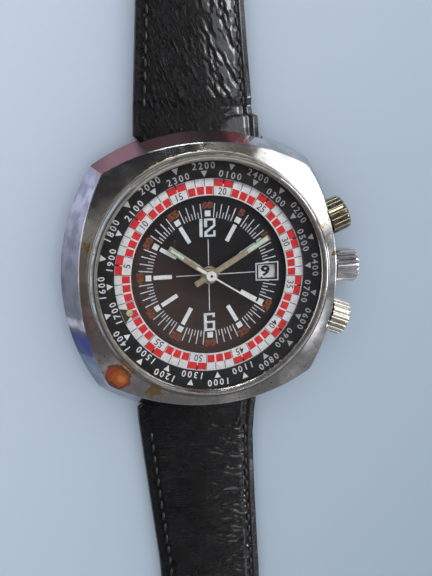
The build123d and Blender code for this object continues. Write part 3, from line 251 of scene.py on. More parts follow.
room_tone = ramp(sky_tree, room_run, [
    ((lean + room_middle - room_start) / (room_end - room_start), tone) for lean, tone in room_stops
])
on_the_right = towards_share(sky_tree, towards, *right_side)
room_view = mixed(sky_tree, on_the_right, room_tone, right_silver)
room_view = mixed(sky_tree, within(sky_tree, towards, window_edges), room_view, window_colour)
room_view = mixed(sky_tree, within(sky_tree, towards, left_glare_edges), room_view, soft_glare)
for glares, brightness in ((soft_glares, soft_glare), (lamp_glares, lamp_glare)):
    for glare in glares:
        in_glare = towards_share(sky_tree, towards, *glare)
        room_view = mixed(sky_tree, in_glare, room_view, brightness)
low_down = towards_share(sky_tree, towards, *under_horizon)
mirrored = mixed(sky_tree, low_down, room_view, backdrop_colour)
sky_background = sky_tree.nodes["Background"]
sky_background.inputs["Color"].default_value = (*sky_colour, 1)
sky_background.inputs["Strength"].default_value = sky_strength
room_background = add_node(sky_tree, "ShaderNodeBackground", {"Color": mirrored})
in_mirror = add_node(sky_tree, "ShaderNodeLightPath").outputs["Is Glossy Ray"]
sky_mix = add_node(
    sky_tree,
    "ShaderNodeMixShader",
    {0: in_mirror, 1: sky_background.outputs[0], 2: room_background.outputs[0]},
)
feed(sky_tree, sky_mix.outputs[0], sky_tree.nodes["World Output"], "Surface")
lamp_power, lamp_size = 1.3, 0.8
lamp_place = Vector((-0.35, 0.45, 0.85))
lamp_data = bpy.data.lights.new("soft_lamp", "AREA")
lamp_data.energy = lamp_power
lamp_data.size = lamp_size
lamp = bpy.data.objects.new("soft_lamp", lamp_data)
lamp.location = lamp_place
lamp.rotation_euler = lamp_place.to_track_quat("Z", "Y").to_euler()
lamp.visible_glossy = False
bpy.context.scene.collection.objects.link(lamp)


# Case middle: one plated metal block, polished on its domed top and its flanks. It is worn to brass in
# places and pitted, and painted reflections tint it red, pink, blue, orange and white on its flanks
# and at its lower left corner.
def noise(tree, scale, detail=3.0, squeeze=(1, 1, 1), turn=(0, 0, 0)):
    """Noise on the piece's own coordinates, in features per metre, closer where squeezed."""
    mapped = add_node(
        tree, "ShaderNodeMapping",
        {"Vector": object_place(tree), "Scale": tuple(1 / s for s in squeeze), "Rotation": turn},
        vector_type="TEXTURE",
    ).outputs["Vector"]
    made = add_node(
        tree, "ShaderNodeTexNoise", {"Vector": mapped, "Scale": scale, "Detail": detail}
    )
    return made.outputs["Fac"]


def bump(tree, height, shader, depth, strength=1.0, rounding=0.0):
    """Fine relief from a height pattern, with edges rounded by a small radius."""
    made = add_node(
        tree, "ShaderNodeBump", {"Height": height, "Distance": depth, "Strength": strength}
    )
    if rounding:
        soft = add_node(tree, "ShaderNodeBevel", {"Radius": rounding}, samples=6)
        feed(tree, soft.outputs["Normal"], made, "Normal")
    feed(tree, made.outputs["Normal"], shader, "Normal")


def dress(node, material):
    """Gives a CAD node its material."""
    nodes[node].data.materials.clear()
    nodes[node].data.materials.append(material)


def axis_distance(tree):
    """Distance of a point from the watch's own axis."""
    flat = add_node(
        tree, "ShaderNodeVectorMath", {0: object_place(tree), 1: Vector((1, 1, 0))},
        operation="MULTIPLY",
    ).outputs["Vector"]
    return add_node(tree, "ShaderNodeVectorMath", {0: flat}, operation="LENGTH").outputs["Value"]


def patch(tree, centre, radius, edge_noise):
    """Soft-edged round patch in the piece's own coordinates, broken up by a noise."""
    distance = add_node(
        tree, "ShaderNodeVectorMath", {0: object_place(tree), 1: Vector(centre) * mm},
        operation="DISTANCE",
    ).outputs["Value"]
    wobble = calculated(tree, "MULTIPLY", edge_noise, radius * mm)
    reach = calculated(tree, "ADD", distance, wobble)
    return between(tree, reach, radius * mm * 1.8, radius * mm)


def facing_share(tree, axis, low, high):
    """How far a surface faces along an axis, from 0 to 1 between two limits."""
    facing = add_node(tree, "ShaderNodeTexCoord").outputs["Normal"]
    return towards_share(tree, facing, axis, low, high)


def worn(tree, tone, heights, wear, brass):
    """Tone and relief with bare brass, more of it with more wear, and small dark pits."""
    bare_from, bare_full = 0.66, 0.72
    bare_noise = noise(tree, scale=330.0, detail=6.0)
    bare = between(tree, bare_noise, bare_from - wear, bare_full - wear)
    pits = between(tree, noise(tree, scale=2600.0, detail=2.0), bare_from, bare_full)
    tone = mixed(tree, pits, mixed(tree, bare, tone, brass), pit_colour)
    return tone, calculated(tree, "SUBTRACT", heights, pits)


def crust_share(tree, start, reach, edge_noise):
    """Share of the ragged crust that covers the upper left inside a radius in mm."""
    upper_left = towards_share(tree, object_place(tree), (-0.85, 0.53, 0), -6 * mm, 6 * mm)
    ragged = calculated(tree, "MULTIPLY_ADD", edge_noise, reach * mm, axis_distance(tree))
    inner = between(tree, ragged, (start + reach) * mm, (start + reach * 0.8) * mm)
    return shares_product(tree, upper_left, inner)


def flank_bands(tree, bands, axis, edge_noise):
    """Tone of painted reflection bands, each with its place in mm along an axis, and the wavy place
    itself.
    """
    straight = add_node(tree, "ShaderNodeSeparateXYZ", {0: object_place(tree)}).outputs[axis]
    wavy = calculated(tree, "MULTIPLY_ADD", edge_noise, band_wave * mm, straight)
    first, last = bands[0][0], bands[-1][0]
    shift = band_wave / 2
    run = between(
        tree, wavy, (first + shift) * mm, (last + shift) * mm, interpolation="LINEAR"
    )
    return ramp(tree, run, [((x - first) / (last - first), tone) for x, tone in bands]), wavy


def flank_share(tree, past_crease, facing):
    """Share of the upright flank on one side of the crease that runs down the case."""
    return shares_product(
        tree,
        facing_share(tree, (0, 0, -1), -0.80, -0.70),
        towards_share(tree, object_place(tree), *past_crease),
        facing_share(tree, facing, 0.10, 0.25),
    )


def chrome(name, colour, painted_patches=(), wear=0.0, roughness=0.07, brass=(0.42, 0.30, 0.15),
           crust=None, rings=0.0, rounding=0.0, top_painted_bands=(), side_painted_bands=(), clouds=0.0):
    """Polished metal with hairlines, haze, patches and bands of painted reflection, turned rings and
    bare brass.
    """
    material, tree, shader = new_material(name, Metallic=1.0)
    haze = noise(tree, scale=700.0, detail=4.0)
    heights = noise(tree, scale=500.0, detail=2.0, squeeze=(1, 14, 6), turn=(0, 0, 0.7))
    tone = ramp(tree, haze, [(0.35, tuple(c * 0.84 for c in colour)), (0.65, colour)])
    rough = between(tree, haze, 0.3, 0.8, roughness * 0.7, roughness * 2.2)
    edge_noise = noise(tree, scale=900.0, detail=4.0)
    if clouds:
        cloudy = between(tree, noise(tree, scale=170.0, detail=7.0), 0.40, 0.62)
        tone = mixed(tree, cloudy, tuple(c * clouds for c in colour), tone)
    if wear:
        tone, heights = worn(tree, tone, heights, wear, brass)
    painted_reflection_shares = []
    # Patches of painted reflection tint the metal.
    for centre, radius, patch_tint in painted_patches:
        here = patch(tree, centre, radius, edge_noise)
        tone = mixed(tree, between(tree, here, 0.0, 0.7), tone, patch_tint)
        painted_reflection_shares.append(here)
    if crust:
        start, reach, crust_colour = crust
        here = crust_share(tree, start, reach, edge_noise)
        tone = mixed(tree, here, tone, crust_colour)
        rough = calculated(tree, "MULTIPLY_ADD", here, 0.3, rough)
        heights = calculated(tree, "MULTIPLY_ADD", here, 4.0, heights)
    if rings:
        turned = add_node(
            tree, "ShaderNodeTexNoise", {"W": axis_distance(tree), "Scale": rings, "Detail": 2.0},
            noise_dimensions="1D",
        ).outputs["Fac"]
        line = between(tree, turned, 0.47, 0.60)
        tone = mixed(tree, line, tone, tuple(c * 0.28 for c in colour))
        heights = calculated(tree, "MULTIPLY_ADD", turned, 14.0, heights)
    # Bands of painted reflection along the upper flank.
    if top_painted_bands:
        band_tone, wavy = flank_bands(tree, top_painted_bands, "X", edge_noise)
        last = top_painted_bands[-1][0]
        here = shares_product(
            tree, flank_share(tree, above_crease, (0, 1, 0)),
            between(tree, wavy, last * mm, (last - band_fade) * mm),
        )
        tone = mixed(tree, here, tone, band_tone)
        painted_reflection_shares.append(here)
    # Bands of painted reflection down the left flank, mottled with a darker painted reflection.
    if side_painted_bands:
        band_tone, wavy = flank_bands(tree, side_painted_bands, "Y", edge_noise)
        mottled = between(tree, noise(tree, scale=420.0, detail=6.0), 0.38, 0.60, 0.5, 1.0)
        band_tone = mixed(tree, mottled, painted_reflection_mottle, band_tone)
        tone = mixed(tree, flank_share(tree, below_crease, (-1, 0, 0)), tone, band_tone)
    # The metal turns partly diffuse under the painted reflections so that their tints show.
    if painted_reflection_shares:
        most = painted_reflection_shares[0]
        for share in painted_reflection_shares[1:]:
            most = calculated(tree, "MAXIMUM", most, share)
        feed(tree, between(tree, most, 0.0, 0.8, 1.0, 0.3), shader, "Metallic")
    feed(tree, tone, shader, "Base Color")
    feed(tree, rough, shader, "Roughness")
    bump(tree, heights, shader, 4e-6, 0.4, rounding)
    return material


pit_colour = (0.05, 0.045, 0.04)
# Dark grey of painted reflection that mottles the left flank bands.
painted_reflection_mottle = (0.14, 0.13, 0.14)
band_wave, band_fade = 1.4, 1.2
above_crease = ((0.675, 0.738, 0), 0.5 * mm, 1.1 * mm)
below_crease = ((-0.675, -0.738, 0), -1.1 * mm, -0.5 * mm)
steel_colour = (0.80, 0.79, 0.78)
# Painted reflections: these tints stand for things that the polished case mirrors, not for stains on
# it.
pink_painted_reflection = (0.27, 0.12, 0.14)
dark_red_painted_reflection = (0.12, 0.070, 0.075)
case_painted_reflections = [
    ((-14.5, -14.2, 7.2), 2.3, (0.11, 0.045, 0.028)), ((-14.9, -13.9, 7.2), 1.3, (0.28, 0.055, 0.02)),
    ((-14.1, -14.5, 7.2), 1.3, (0.34, 0.085, 0.025)), ((-13.9, -14.6, 7.2), 0.7, (0.50, 0.17, 0.05)),
]
top_flank_painted_reflections = [
    (-19.5, (0.20, 0.08, 0.10)), (-17.0, (0.15, 0.05, 0.07)), (-14.0, pink_painted_reflection), (-10.6, pink_painted_reflection),
    (-9.6, (0.10, 0.05, 0.055)), (-5.0, dark_red_painted_reflection), (0.5, (0.045, 0.036, 0.038)),
    (2.8, (0.06, 0.035, 0.038)), (4.2, (0.24, 0.07, 0.08)), (6.6, (0.22, 0.07, 0.075)),
    (8.0, (0.28, 0.26, 0.27)),
]
side_flank_painted_reflections = [
    (-22.0, (0.42, 0.44, 0.50)), (-16.0, (0.32, 0.34, 0.40)), (-12.8, (0.28, 0.34, 0.46)),
    (-11.4, (0.20, 0.26, 0.44)), (-10.9, (0.03, 0.04, 0.28)), (-7.9, (0.025, 0.035, 0.27)),
    (-7.4, (0.22, 0.19, 0.25)), (-6.6, (1.0, 0.86, 0.88)), (-5.9, (0.95, 0.82, 0.86)),
    (-5.4, (0.30, 0.28, 0.30)),
    (0.0, (0.30, 0.29, 0.32)), (4.0, (0.45, 0.41, 0.46)), (9.0, (0.70, 0.62, 0.72)),
    (13.0, (0.92, 0.86, 1.0)), (17.0, (0.62, 0.55, 0.66)),
]
case_crust = (18.35, 0.6, (0.34, 0.29, 0.20))
case_rounding = 0.32 * mm
dress("case_middle", chrome("case_chrome", steel_colour, case_painted_reflections, wear=0.04, crust=case_crust,
                            rounding=case_rounding, top_painted_bands=top_flank_painted_reflections,
                            side_painted_bands=side_flank_painted_reflections, clouds=0.55))

# Case back and its gasket: a plain brushed steel cover screwed in from below, over
# a black rubber ring that keeps the case tight.
dress("case_back", chrome("back_steel", (0.62, 0.61, 0.60), roughness=0.18))
rubber, rubber_tree, rubber_shader = new_material("gasket_rubber", Roughness=0.7)
rubber_tone = ramp(
    rubber_tree, noise(rubber_tree, 900.0), [(0.4, (0.012, 0.012, 0.012)), (0.7, (0.03, 0.03, 0.03))]
)
feed(rubber_tree, rubber_tone, rubber_shader, "Base Color")
dress("case_back_gasket", rubber)

# Bezel ring: a turned and stepped ring pressed on the case, with its plating worn thin along the upper
# left. Dark brown-grey patches along its top are painted reflections.
# Painted reflections: dark brown-grey tints along the top of the bezel.
bezel_painted_reflections = [
    ((-9.0, 16.0, 9.0), 4.0, (0.13, 0.12, 0.095)),
    ((0.0, 17.6, 9.0), 4.6, (0.085, 0.08, 0.07)),
    ((7.0, 16.2, 9.0), 4.0, (0.12, 0.12, 0.115)),
]
bezel_crust = (17.7, 0.8, (0.42, 0.38, 0.29))
bezel_rounding = 0.12 * mm
turned_lines = 3600.0
dress("bezel_ring", chrome("bezel_chrome", (0.95, 0.92, 0.88), bezel_painted_reflections, wear=0.02,
                           crust=bezel_crust, rings=turned_lines, rounding=bezel_rounding))

# Crystal: a domed glass with fine hairlines, held by a grey plastic gasket.
# Light falls through it on to the dial.
glass, glass_tree, glass_shader = new_material(
    "crystal_glass", Roughness=0.02, Transmission_Weight=1.0, IOR=1.02, Coat_Weight=0.3,
    Coat_Roughness=0.03,
)
scratches = noise(glass_tree, scale=260.0, detail=2.0, squeeze=(1, 30, 1), turn=(0, 0, 1.1))
bump(glass_tree, between(glass_tree, scratches, 0.68, 0.7), glass_shader, 2e-6, 0.15)
clear = add_node(glass_tree, "ShaderNodeBsdfTransparent")
shadow_ray = add_node(glass_tree, "ShaderNodeLightPath").outputs["Is Shadow Ray"]
glass_mix = add_node(
    glass_tree,
    "ShaderNodeMixShader",
    {0: shadow_ray, 1: glass_shader.outputs[0], 2: clear.outputs[0]},
)
feed(glass_tree, glass_mix.outputs[0], glass_tree.nodes["Material Output"], "Surface")
dress("crystal", glass)
seal, seal_tree, seal_shader = new_material("crystal_seal", Roughness=0.45)
seal_tone = ramp(
    seal_tree, noise(seal_tree, 800.0), [(0.4, (0.16, 0.15, 0.14)), (0.7, (0.30, 0.29, 0.27))]
)
feed(seal_tree, seal_tone, seal_shader, "Base Color")
dress("crystal_gasket", seal)


# World time ring: a black ring printed with two rows of four-digit hours and
# twenty-four small triangles that point to the centre. The upper crown turns it.
def clock_place(radius, bearing, height):
    """Frame on a ring: local y points outwards at a bearing clockwise from 12."""
    return (
        Matrix.Rotation(-math.radians(bearing), 4, "Z")
        @ Matrix.Translation((0, radius * mm, height))
    )


def number_mesh(text, height, tracking=1.0, flatten=1.0, weight=0.0):
    """Flat number as a mesh, centred, with the height of its digits given in mm."""
    curve = bpy.data.curves.new("number", "FONT")
    curve.body = text
    curve.space_character = tracking
    curve.resolution_u = 2
    curve.offset = weight
    holder = bpy.data.objects.new("number", curve)
    bpy.context.scene.collection.objects.link(holder)
    bpy.context.view_layer.update()
    ready = holder.evaluated_get(bpy.context.evaluated_depsgraph_get())
    mesh = bpy.data.meshes.new_from_object(ready)
    bpy.data.objects.remove(holder)
    xs = [v.co.x for v in mesh.vertices]
    ys = [v.co.y for v in mesh.vertices]
    size = height * mm / (max(ys) - min(ys))
    middle = Vector((-(max(xs) + min(xs)) / 2, -(max(ys) + min(ys)) / 2, 0))
    mesh.transform(Matrix.Diagonal((size * flatten, size, size, 1)) @ Matrix.Translation(middle))
    return mesh


def stamp(shape, mesh, place):
    """Adds a placed copy of a flat mesh to a print."""
    mesh.transform(place)
    shape.from_mesh(mesh)
    bpy.data.meshes.remove(mesh)


def flat_shape(shape, corners, place):
    """Adds one flat face through corners in mm to a print."""
    verts = [shape.verts.new(place @ Vector((x * mm, y * mm, 0))) for x, y in corners]
    shape.faces.new(verts)


def paint(name, light, dark, roughness=0.5, grain=1800.0, coat=0.0, painted_shade=None):
    """Print or lacquer of slightly uneven tone, which may carry a painted shade that greys it towards
    the upper right.
    """
    material, tree, shader = new_material(name, Roughness=roughness, Coat_Weight=coat)
    tone = ramp(tree, noise(tree, grain, 3.0), [(0.35, dark), (0.65, light)])
    # Painted shade: the tone greys towards the upper right.
    if painted_shade:
        shade_share = towards_share(tree, object_place(tree), (0.88, 0.47, 0), -7 * mm, 7 * mm)
        tone = mixed(tree, shade_share, tone, painted_shade)
    feed(tree, tone, shader, "Base Color")
    bump(tree, noise(tree, grain, 2.0), shader, 3e-6, 0.3)
    return material


print_gap = 0.012 * mm
ring_black = paint("ring_black", (0.013, 0.014, 0.015), (0.006, 0.007, 0.008), 0.42)
# The white print greys towards the upper right with a painted shade.
ring_white = paint(
    "ring_white", (0.97, 0.98, 0.98), (0.84, 0.88, 0.90), 0.6, painted_shade=(0.50, 0.50, 0.51)
)
dress("city_ring", ring_black)
outer_row_radius, inner_row_radius = 16.35, 15.18
hour_digit_height = 1.02
row_pitch = 30
triangle_half_width, triangle_half_height = 0.475, 0.45
outer_triangle_bearing, inner_triangle_bearing = 12.3, -2.7
triangle = [
    (-triangle_half_width, triangle_half_height), (0, -triangle_half_height),
    (triangle_half_width, triangle_half_height),
]
ring_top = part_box("city_ring")[1].z + print_gap
ring_print = bmesh.new()
for hour in range(1, 25):
    outer = hour % 2 == 0
    radius = outer_row_radius if outer else inner_row_radius
    first = outer_triangle_bearing if outer else inner_triangle_bearing
    bearing = first + row_pitch * (hour // 2)
    flat_shape(ring_print, triangle, clock_place(radius, bearing, ring_top))
    hours = number_mesh(f"{hour:02d}00", hour_digit_height, tracking=1.35, weight=0.015)
    stamp(ring_print, hours, clock_place(radius, bearing + row_pitch / 2, ring_top))
ring_marks = mesh_piece("world_ring_print", ring_print, ring_white, "world_ring", smooth=False)


# Minute ring: white with red squares, black ticks and numerals 5 to 55, turned
# by the lower crown. Its zero is a round lume pip on a dark triangle.
def ring_cell(shape, inner, outer, start, end, height, steps=6):
    """Adds a curved four-sided cell between two radii and two bearings."""
    ends = [shape.verts.new(clock_place(r, start, height).translation) for r in (inner, outer)]
    line = shape.edges.new(ends)
    bmesh.ops.spin(
        shape, geom=[*ends, line], cent=(0, 0, 0), axis=(0, 0, 1),
        angle=-math.radians(end - start), steps=steps,
    )


minute_inner, minute_outer, minute_middle = 11.98, 14.5, 13.3
minute_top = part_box("minute_ring")[1].z
minute_pitch = 6
zero_bearing = 248.5
scale_start = 249.6
cell_margin = 0.55
outer_cell = (minute_middle + 0.02, minute_outer - 0.12)
inner_cell = (minute_inner + 0.14, minute_middle)
scale_edge = minute_outer - 0.05
five_tick = (minute_middle + 0.45, scale_edge, 0.45)
whole_tick = (minute_inner, scale_edge, 0.22)
half_tick = (minute_middle, scale_edge, 0.22)
minute_digit_height = 1.05
zero_outline = [(-1.2, 1.1), (-0.12, -0.75), (0.12, -0.75), (1.2, 1.1)]
minute_white = paint("minute_white", (0.90, 0.92, 0.93), (0.74, 0.77, 0.78), 0.55)
minute_red = paint("minute_red", (0.86, 0.030, 0.032), (0.66, 0.018, 0.020), 0.5)
minute_black = paint("minute_black", (0.02, 0.018, 0.02), (0.01, 0.01, 0.01), 0.5)
dress("minute_ring", minute_white)
red_print, black_print = bmesh.new(), bmesh.new()
red_height = minute_top + print_gap
for minute in range(60):
    start = scale_start + minute_pitch * minute
    numbered = minute % 5 in (0, 4) and minute not in (0, 59)
    cell_start, cell_end = outer_cell if numbered else inner_cell
    margin = cell_margin / 2 if numbered else cell_margin
    end = start + minute_pitch - margin
    ring_cell(red_print, cell_start, cell_end, start + margin, end, red_height)
    if minute % 5 == 0 and minute:
        tick_start, tick_end, half_width = five_tick
    else:
        tick_start, tick_end, half_width = whole_tick if minute % 5 in (1, 4) else half_tick
    ring_cell(
        black_print, tick_start, tick_end, start - half_width, start + half_width,
        red_height + print_gap / 2, 2,
    )
    if minute % 5 == 0 and minute:
        numeral = number_mesh(str(minute), minute_digit_height, flatten=0.92, weight=0.006)
        place = clock_place((minute_inner + minute_middle) / 2, start, red_height + print_gap)
        stamp(black_print, numeral, place)
zero_print = bmesh.new()
zero_place = clock_place(minute_middle, zero_bearing, red_height + print_gap * 2)
flat_shape(zero_print, zero_outline, zero_place)
zero_brown = paint("zero_brown", (0.075, 0.055, 0.035), (0.035, 0.028, 0.020), 0.5)
zero_triangle = mesh_piece("zero_triangle", zero_print, zero_brown, "minute_scale", smooth=False)
red_squares = mesh_piece("minute_ring_red", red_print, minute_red, "minute_scale", smooth=False)
black_marks = mesh_piece("minute_ring_black", black_print, minute_black, "minute_scale", smooth=False)
lume_yellow = paint("lume_yellow", (0.72, 0.68, 0.42), (0.50, 0.46, 0.28), 0.6)
dress("zero_pip", lume_yellow)


# Dial: black lacquer with a painted brown reflection towards 8, printed with a crosshair, a minute
# track, blocky 12 and 6, and small orange numerals from 5 to 60.
def flat_bar(shape, width, start, end, place):
    """Adds a flat bar that points outwards from its place."""
    half = width / 2
    flat_shape(shape, [(-half, start), (half, start), (half, end), (-half, end)], place)


dial_black, dial_tree, dial_shader = new_material("dial_black", Roughness=0.34, Coat_Weight=0.15)
# Painted reflection: the black turns dark brown towards 8.
reflection_towards_eight = (-0.62, -0.78, 0)
brown_reflection_start, brown_reflection_end = -7 * mm, 9 * mm
dial_tone_and_reflection = ramp(
    dial_tree,
    towards_share(
        dial_tree, object_place(dial_tree), reflection_towards_eight, brown_reflection_start, brown_reflection_end
    ),
    [(0.0, (0.006, 0.007, 0.010)), (0.45, (0.016, 0.012, 0.011)), (1.0, (0.055, 0.036, 0.030))],
)
feed(dial_tree, dial_tone_and_reflection, dial_shader, "Base Color")
bump(dial_tree, noise(dial_tree, 2500.0, 2.0), dial_shader, 2e-6, 0.3)
for node in ("dial", "ring_seat"):
    dress(node, dial_black)
dial_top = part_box("dial")[1].z + print_gap
track_inner, track_outer, half_track = 8.6, 10.7, 9.5
tick_width, half_tick_width = 0.14, 0.119
line_width = 0.12
date_gap = (82, 98)
near_numeral, half_near_numeral = 1.0, 1.4
crosshair_arms = ((0, 1.4, 5.3), (180, 1.4, 5.5), (90, 1.4, 7.2), (270, 1.4, 5.0))
white_print = bmesh.new()
for half_minute in range(120):
    minute = half_minute / 2
    bearing = minute_pitch * minute
    nearest = min(minute % 5, 5 - minute % 5)
    whole = half_minute % 2 == 0
    near = nearest < (near_numeral if whole else half_near_numeral)
    if near or date_gap[0] < bearing < date_gap[1]:
        continue
    flat_bar(
        white_print, tick_width if whole else half_tick_width, track_inner,
        track_outer if whole else half_track, clock_place(0, bearing, dial_top),
    )
for bearing, start, end in crosshair_arms:
    flat_bar(white_print, line_width, start, end, clock_place(0, bearing, dial_top))
thick, thin = 0.46, 0.36
digit_half, digit_top = 0.86, 1.36
one = [(-thick / 2, -digit_top), (thick / 2, -digit_top), (thick / 2, digit_top),
       (-thick / 2, digit_top)]
left_in, right_in = -digit_half + thick, digit_half - thin
two = [
    (-digit_half, -digit_top), (digit_half, -digit_top), (digit_half, -0.46), (right_in, -0.46),
    (right_in, -digit_top + 0.3), (left_in, -digit_top + 0.3), (left_in, -0.74),
    (digit_half, 0.21), (digit_half, digit_top), (-digit_half, digit_top), (-digit_half, 0.09),
    (left_in, 0.09), (left_in, digit_top - 0.3), (right_in, digit_top - 0.3), (right_in, 0.36),
    (-digit_half, -0.61),
]
six_left = [
    (-digit_half, -digit_top), (left_in, -digit_top), (left_in, digit_top - 0.33),
    (right_in, digit_top - 0.33), (right_in, digit_top - 0.68), (digit_half, digit_top - 0.68),
    (digit_half, digit_top), (-digit_half, digit_top),
]
six_right = [
    (left_in, -digit_top), (digit_half, -digit_top), (digit_half, 0.14), (left_in, 0.14),
    (left_in, -0.16), (right_in, -0.16), (right_in, -digit_top + 0.36),
    (left_in, -digit_top + 0.36),
]
twelve_middle, six_middle = 7.07, -7.22
for outline, across, middle in (
    (one, -1.05, twelve_middle), (two, 0.3, twelve_middle),
    (six_left, -0.05, six_middle), (six_right, -0.05, six_middle),
):
    flat_shape(white_print, outline, Matrix.Translation((across * mm, middle * mm, dial_top)))
dial_white = paint("dial_white", (0.86, 0.90, 0.94), (0.68, 0.72, 0.76), 0.5)
dial_marks = mesh_piece("dial_print_white", white_print, dial_white, "case", smooth=False)
orange_print = bmesh.new()
orange_digit_height, orange_radius = 1.12, 10.45
for minute in range(5, 65, 5):
    if minute != 15:
        numeral = number_mesh(str(minute), orange_digit_height, flatten=1.3, weight=0.07)
        place = clock_place(orange_radius, minute_pitch * minute, dial_top)
        if 20 <= minute <= 40:
            place = place @ Matrix.Rotation(math.pi, 4, "Z")
        stamp(orange_print, numeral, place)
dial_orange = paint("dial_orange", (0.30, 0.085, 0.03), (0.15, 0.045, 0.018), 0.55)
orange_marks = mesh_piece("dial_print_orange", orange_print, dial_orange, "case", smooth=False)

# Hour markers: raised white squares and batons, glued on the dial. The date
# frame is a black well with a white line around it.
marker_white = paint("marker_white", (0.92, 0.95, 0.97), (0.76, 0.80, 0.82), 0.45)
dress("hour_markers", marker_white)
dress("date_frame", minute_black)
frame_low, frame_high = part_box("date_frame")
frame_line = 0.16
frame_taper = 0.15
frame_print = bmesh.new()
left, right = frame_low.x / mm, frame_high.x / mm
left_top, right_top = frame_high.y / mm - frame_taper, frame_high.y / mm
outer_corners = [(left, left_top), (left, -left_top), (right, -right_top), (right, right_top)]
inner_corners = [
    (left + frame_line, left_top - frame_line), (left + frame_line, -left_top + frame_line),
    (right - frame_line, -right_top + frame_line), (right - frame_line, right_top - frame_line)]
frame_place = Matrix.Translation((0, 0, frame_high.z + print_gap))
for n in range(4):
    nxt = (n + 1) % 4
    flat_shape(
        frame_print,
        [outer_corners[n], inner_corners[n], inner_corners[nxt], outer_corners[nxt]],
        frame_place,
    )
date_line = mesh_piece("date_frame_line", frame_print, dial_white, "case", smooth=False)

# Date disc: white, with thirty-one black numerals that turn under the window.
# The ninth stands upright in it.
date_white = paint("date_white", (0.94, 0.95, 0.95), (0.84, 0.86, 0.86), 0.5)
dress("date_disc", date_white)
date_print = bmesh.new()
date_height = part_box("date_disc")[1].z + print_gap
date_radius = 8.95
date_digit_height = 1.72
days, shown_day = 31, 9
for day in range(1, days + 1):
    flatten = 1.35 if day < 10 else 0.8
    numeral = number_mesh(str(day), date_digit_height, flatten=flatten, weight=0.035)
    turn = math.radians((shown_day - day) * 360 / days)
    place = Matrix.Rotation(turn, 4, "Z") @ Matrix.Translation((date_radius * mm, 0, date_height))
    stamp(date_print, numeral, place)
date_marks = mesh_piece("date_numerals", date_print, minute_black, "date", smooth=False)


# Hands: beige, aged metal batons with pale green lume on their outer parts, and a cream seconds needle
# with a small dark dimple in its hub. A cream strip along the hour hand's edge is a painted highlight.
# All are pressed on at the centre of the dial.
def hand_bar(shape, bearing, start, end, width, bottom, height, across=0.0):
    """Adds a bar that lies along a hand, with the edges of its top bevelled."""
    made = bmesh.ops.create_cube(shape, size=1.0)["verts"]
    bmesh.ops.scale(shape, verts=made, vec=(width * mm, (end - start) * mm, height * mm))
    bmesh.ops.translate(
        shape, verts=made, vec=(across * mm, (start + end) / 2 * mm, bottom + height * mm / 2)
    )
    edges = {edge for vert in made for edge in vert.link_edges}
    upper = [e for e in edges if all(v.co.z > bottom + height * mm / 2 for v in e.verts)]
    bevelled = bmesh.ops.bevel(
        shape, geom=upper, affect="EDGES", offset=height * mm * bevel_share, segments=2,
        profile=0.5, material=-1,
    )
    whole = {v for v in made if v.is_valid} | set(bevelled["verts"])
    bmesh.ops.rotate(
        shape, verts=list(whole), cent=(0, 0, 0),
        matrix=Matrix.Rotation(-math.radians(bearing), 3, "Z"),
    )


hand_aged = paint("hand_aged", (0.42, 0.36, 0.25), (0.31, 0.26, 0.18), 0.32)
for node in ("hour_hand", "minute_hand"):
    dress(node, hand_aged)
bevel_share = 0.45
hour_bearing, minute_bearing = 305.2, 60.0
hour_top, minute_hand_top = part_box("hour_hand")[1].z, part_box("minute_hand")[1].z
lume_green = paint("lume_green", (0.64, 0.86, 0.70), (0.48, 0.68, 0.54), 0.7)
lume_faded = paint("lume_faded", (0.86, 0.82, 0.74), (0.70, 0.66, 0.58), 0.7)
# Painted highlight: a cream paint for the strip along the hour hand's bevelled edge.
painted_edge_highlight = paint("painted_edge_highlight", (0.66, 0.66, 0.56), (0.44, 0.44, 0.36), 0.35)
# Each bar has its bearing, start, end, width, height and shift across its hand.
for name, paint_made, bearing, start, end, width, rise, across, body in (
    ("hour_hand_lume", lume_green, hour_bearing, 4.7, 7.0, 0.42, 0.06, -0.06, "hours"),
    # A painted highlight: the cream strip along the hour hand's bevelled edge.
    ("hour_hand_painted_highlight", painted_edge_highlight, hour_bearing, 0.9, 7.2, 0.12, 0.05, 0.28, "hours"),
    ("minute_hand_lume", lume_green, minute_bearing, 6.7, 9.9, 0.62, 0.06, 0.0, "minutes"),
    ("minute_hand_tip", lume_faded, minute_bearing, 9.92, 10.35, 0.62, 0.05, 0.0, "minutes"),
):
    bar = bmesh.new()
    top = hour_top if body == "hours" else minute_hand_top
    hand_bar(bar, bearing, start, end, width, top, rise, across)
    piece = mesh_piece(name, bar, paint_made, body)
cream = paint("hand_cream", (0.95, 0.94, 0.89), (0.84, 0.82, 0.75), 0.4)
dress("seconds_hand", cream)
dimple_radius = 0.2 * mm
cap_shape = bmesh.new()
cap_place = Matrix.Translation((0, 0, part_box("seconds_hand")[1].z + print_gap))
bmesh.ops.create_circle(
    cap_shape, cap_ends=True, segments=32, radius=dimple_radius, matrix=cap_place
)
cap = mesh_piece("seconds_hand_cap", cap_shape, minute_black, "seconds", smooth=False)

# Crowns: fluted and polished. The plating of the two ring crowns has yellowed,
# and all three turn their stems through tubes in the case.
flute_rounding = 0.03 * mm
dress("crown_time", chrome(
    "crown_chrome", (0.95, 0.96, 0.98), roughness=0.08, rounding=flute_rounding))
dress("crown_upper", chrome("crown_brassy", (0.20, 0.17, 0.12), wear=0.04, roughness=0.22,
                            brass=(0.22, 0.17, 0.10), rounding=flute_rounding))
dress("crown_lower", chrome("crown_warm", (0.76, 0.72, 0.63), wear=0.03, roughness=0.08,
                            rounding=flute_rounding))
turned_steel = chrome("turned_steel", (0.60, 0.60, 0.60), roughness=0.25)
for node in ("crown_tubes", "upper_ring_stem", "lower_ring_stem", "setting_stem", "sliding_pinion"):
    dress(node, turned_steel)

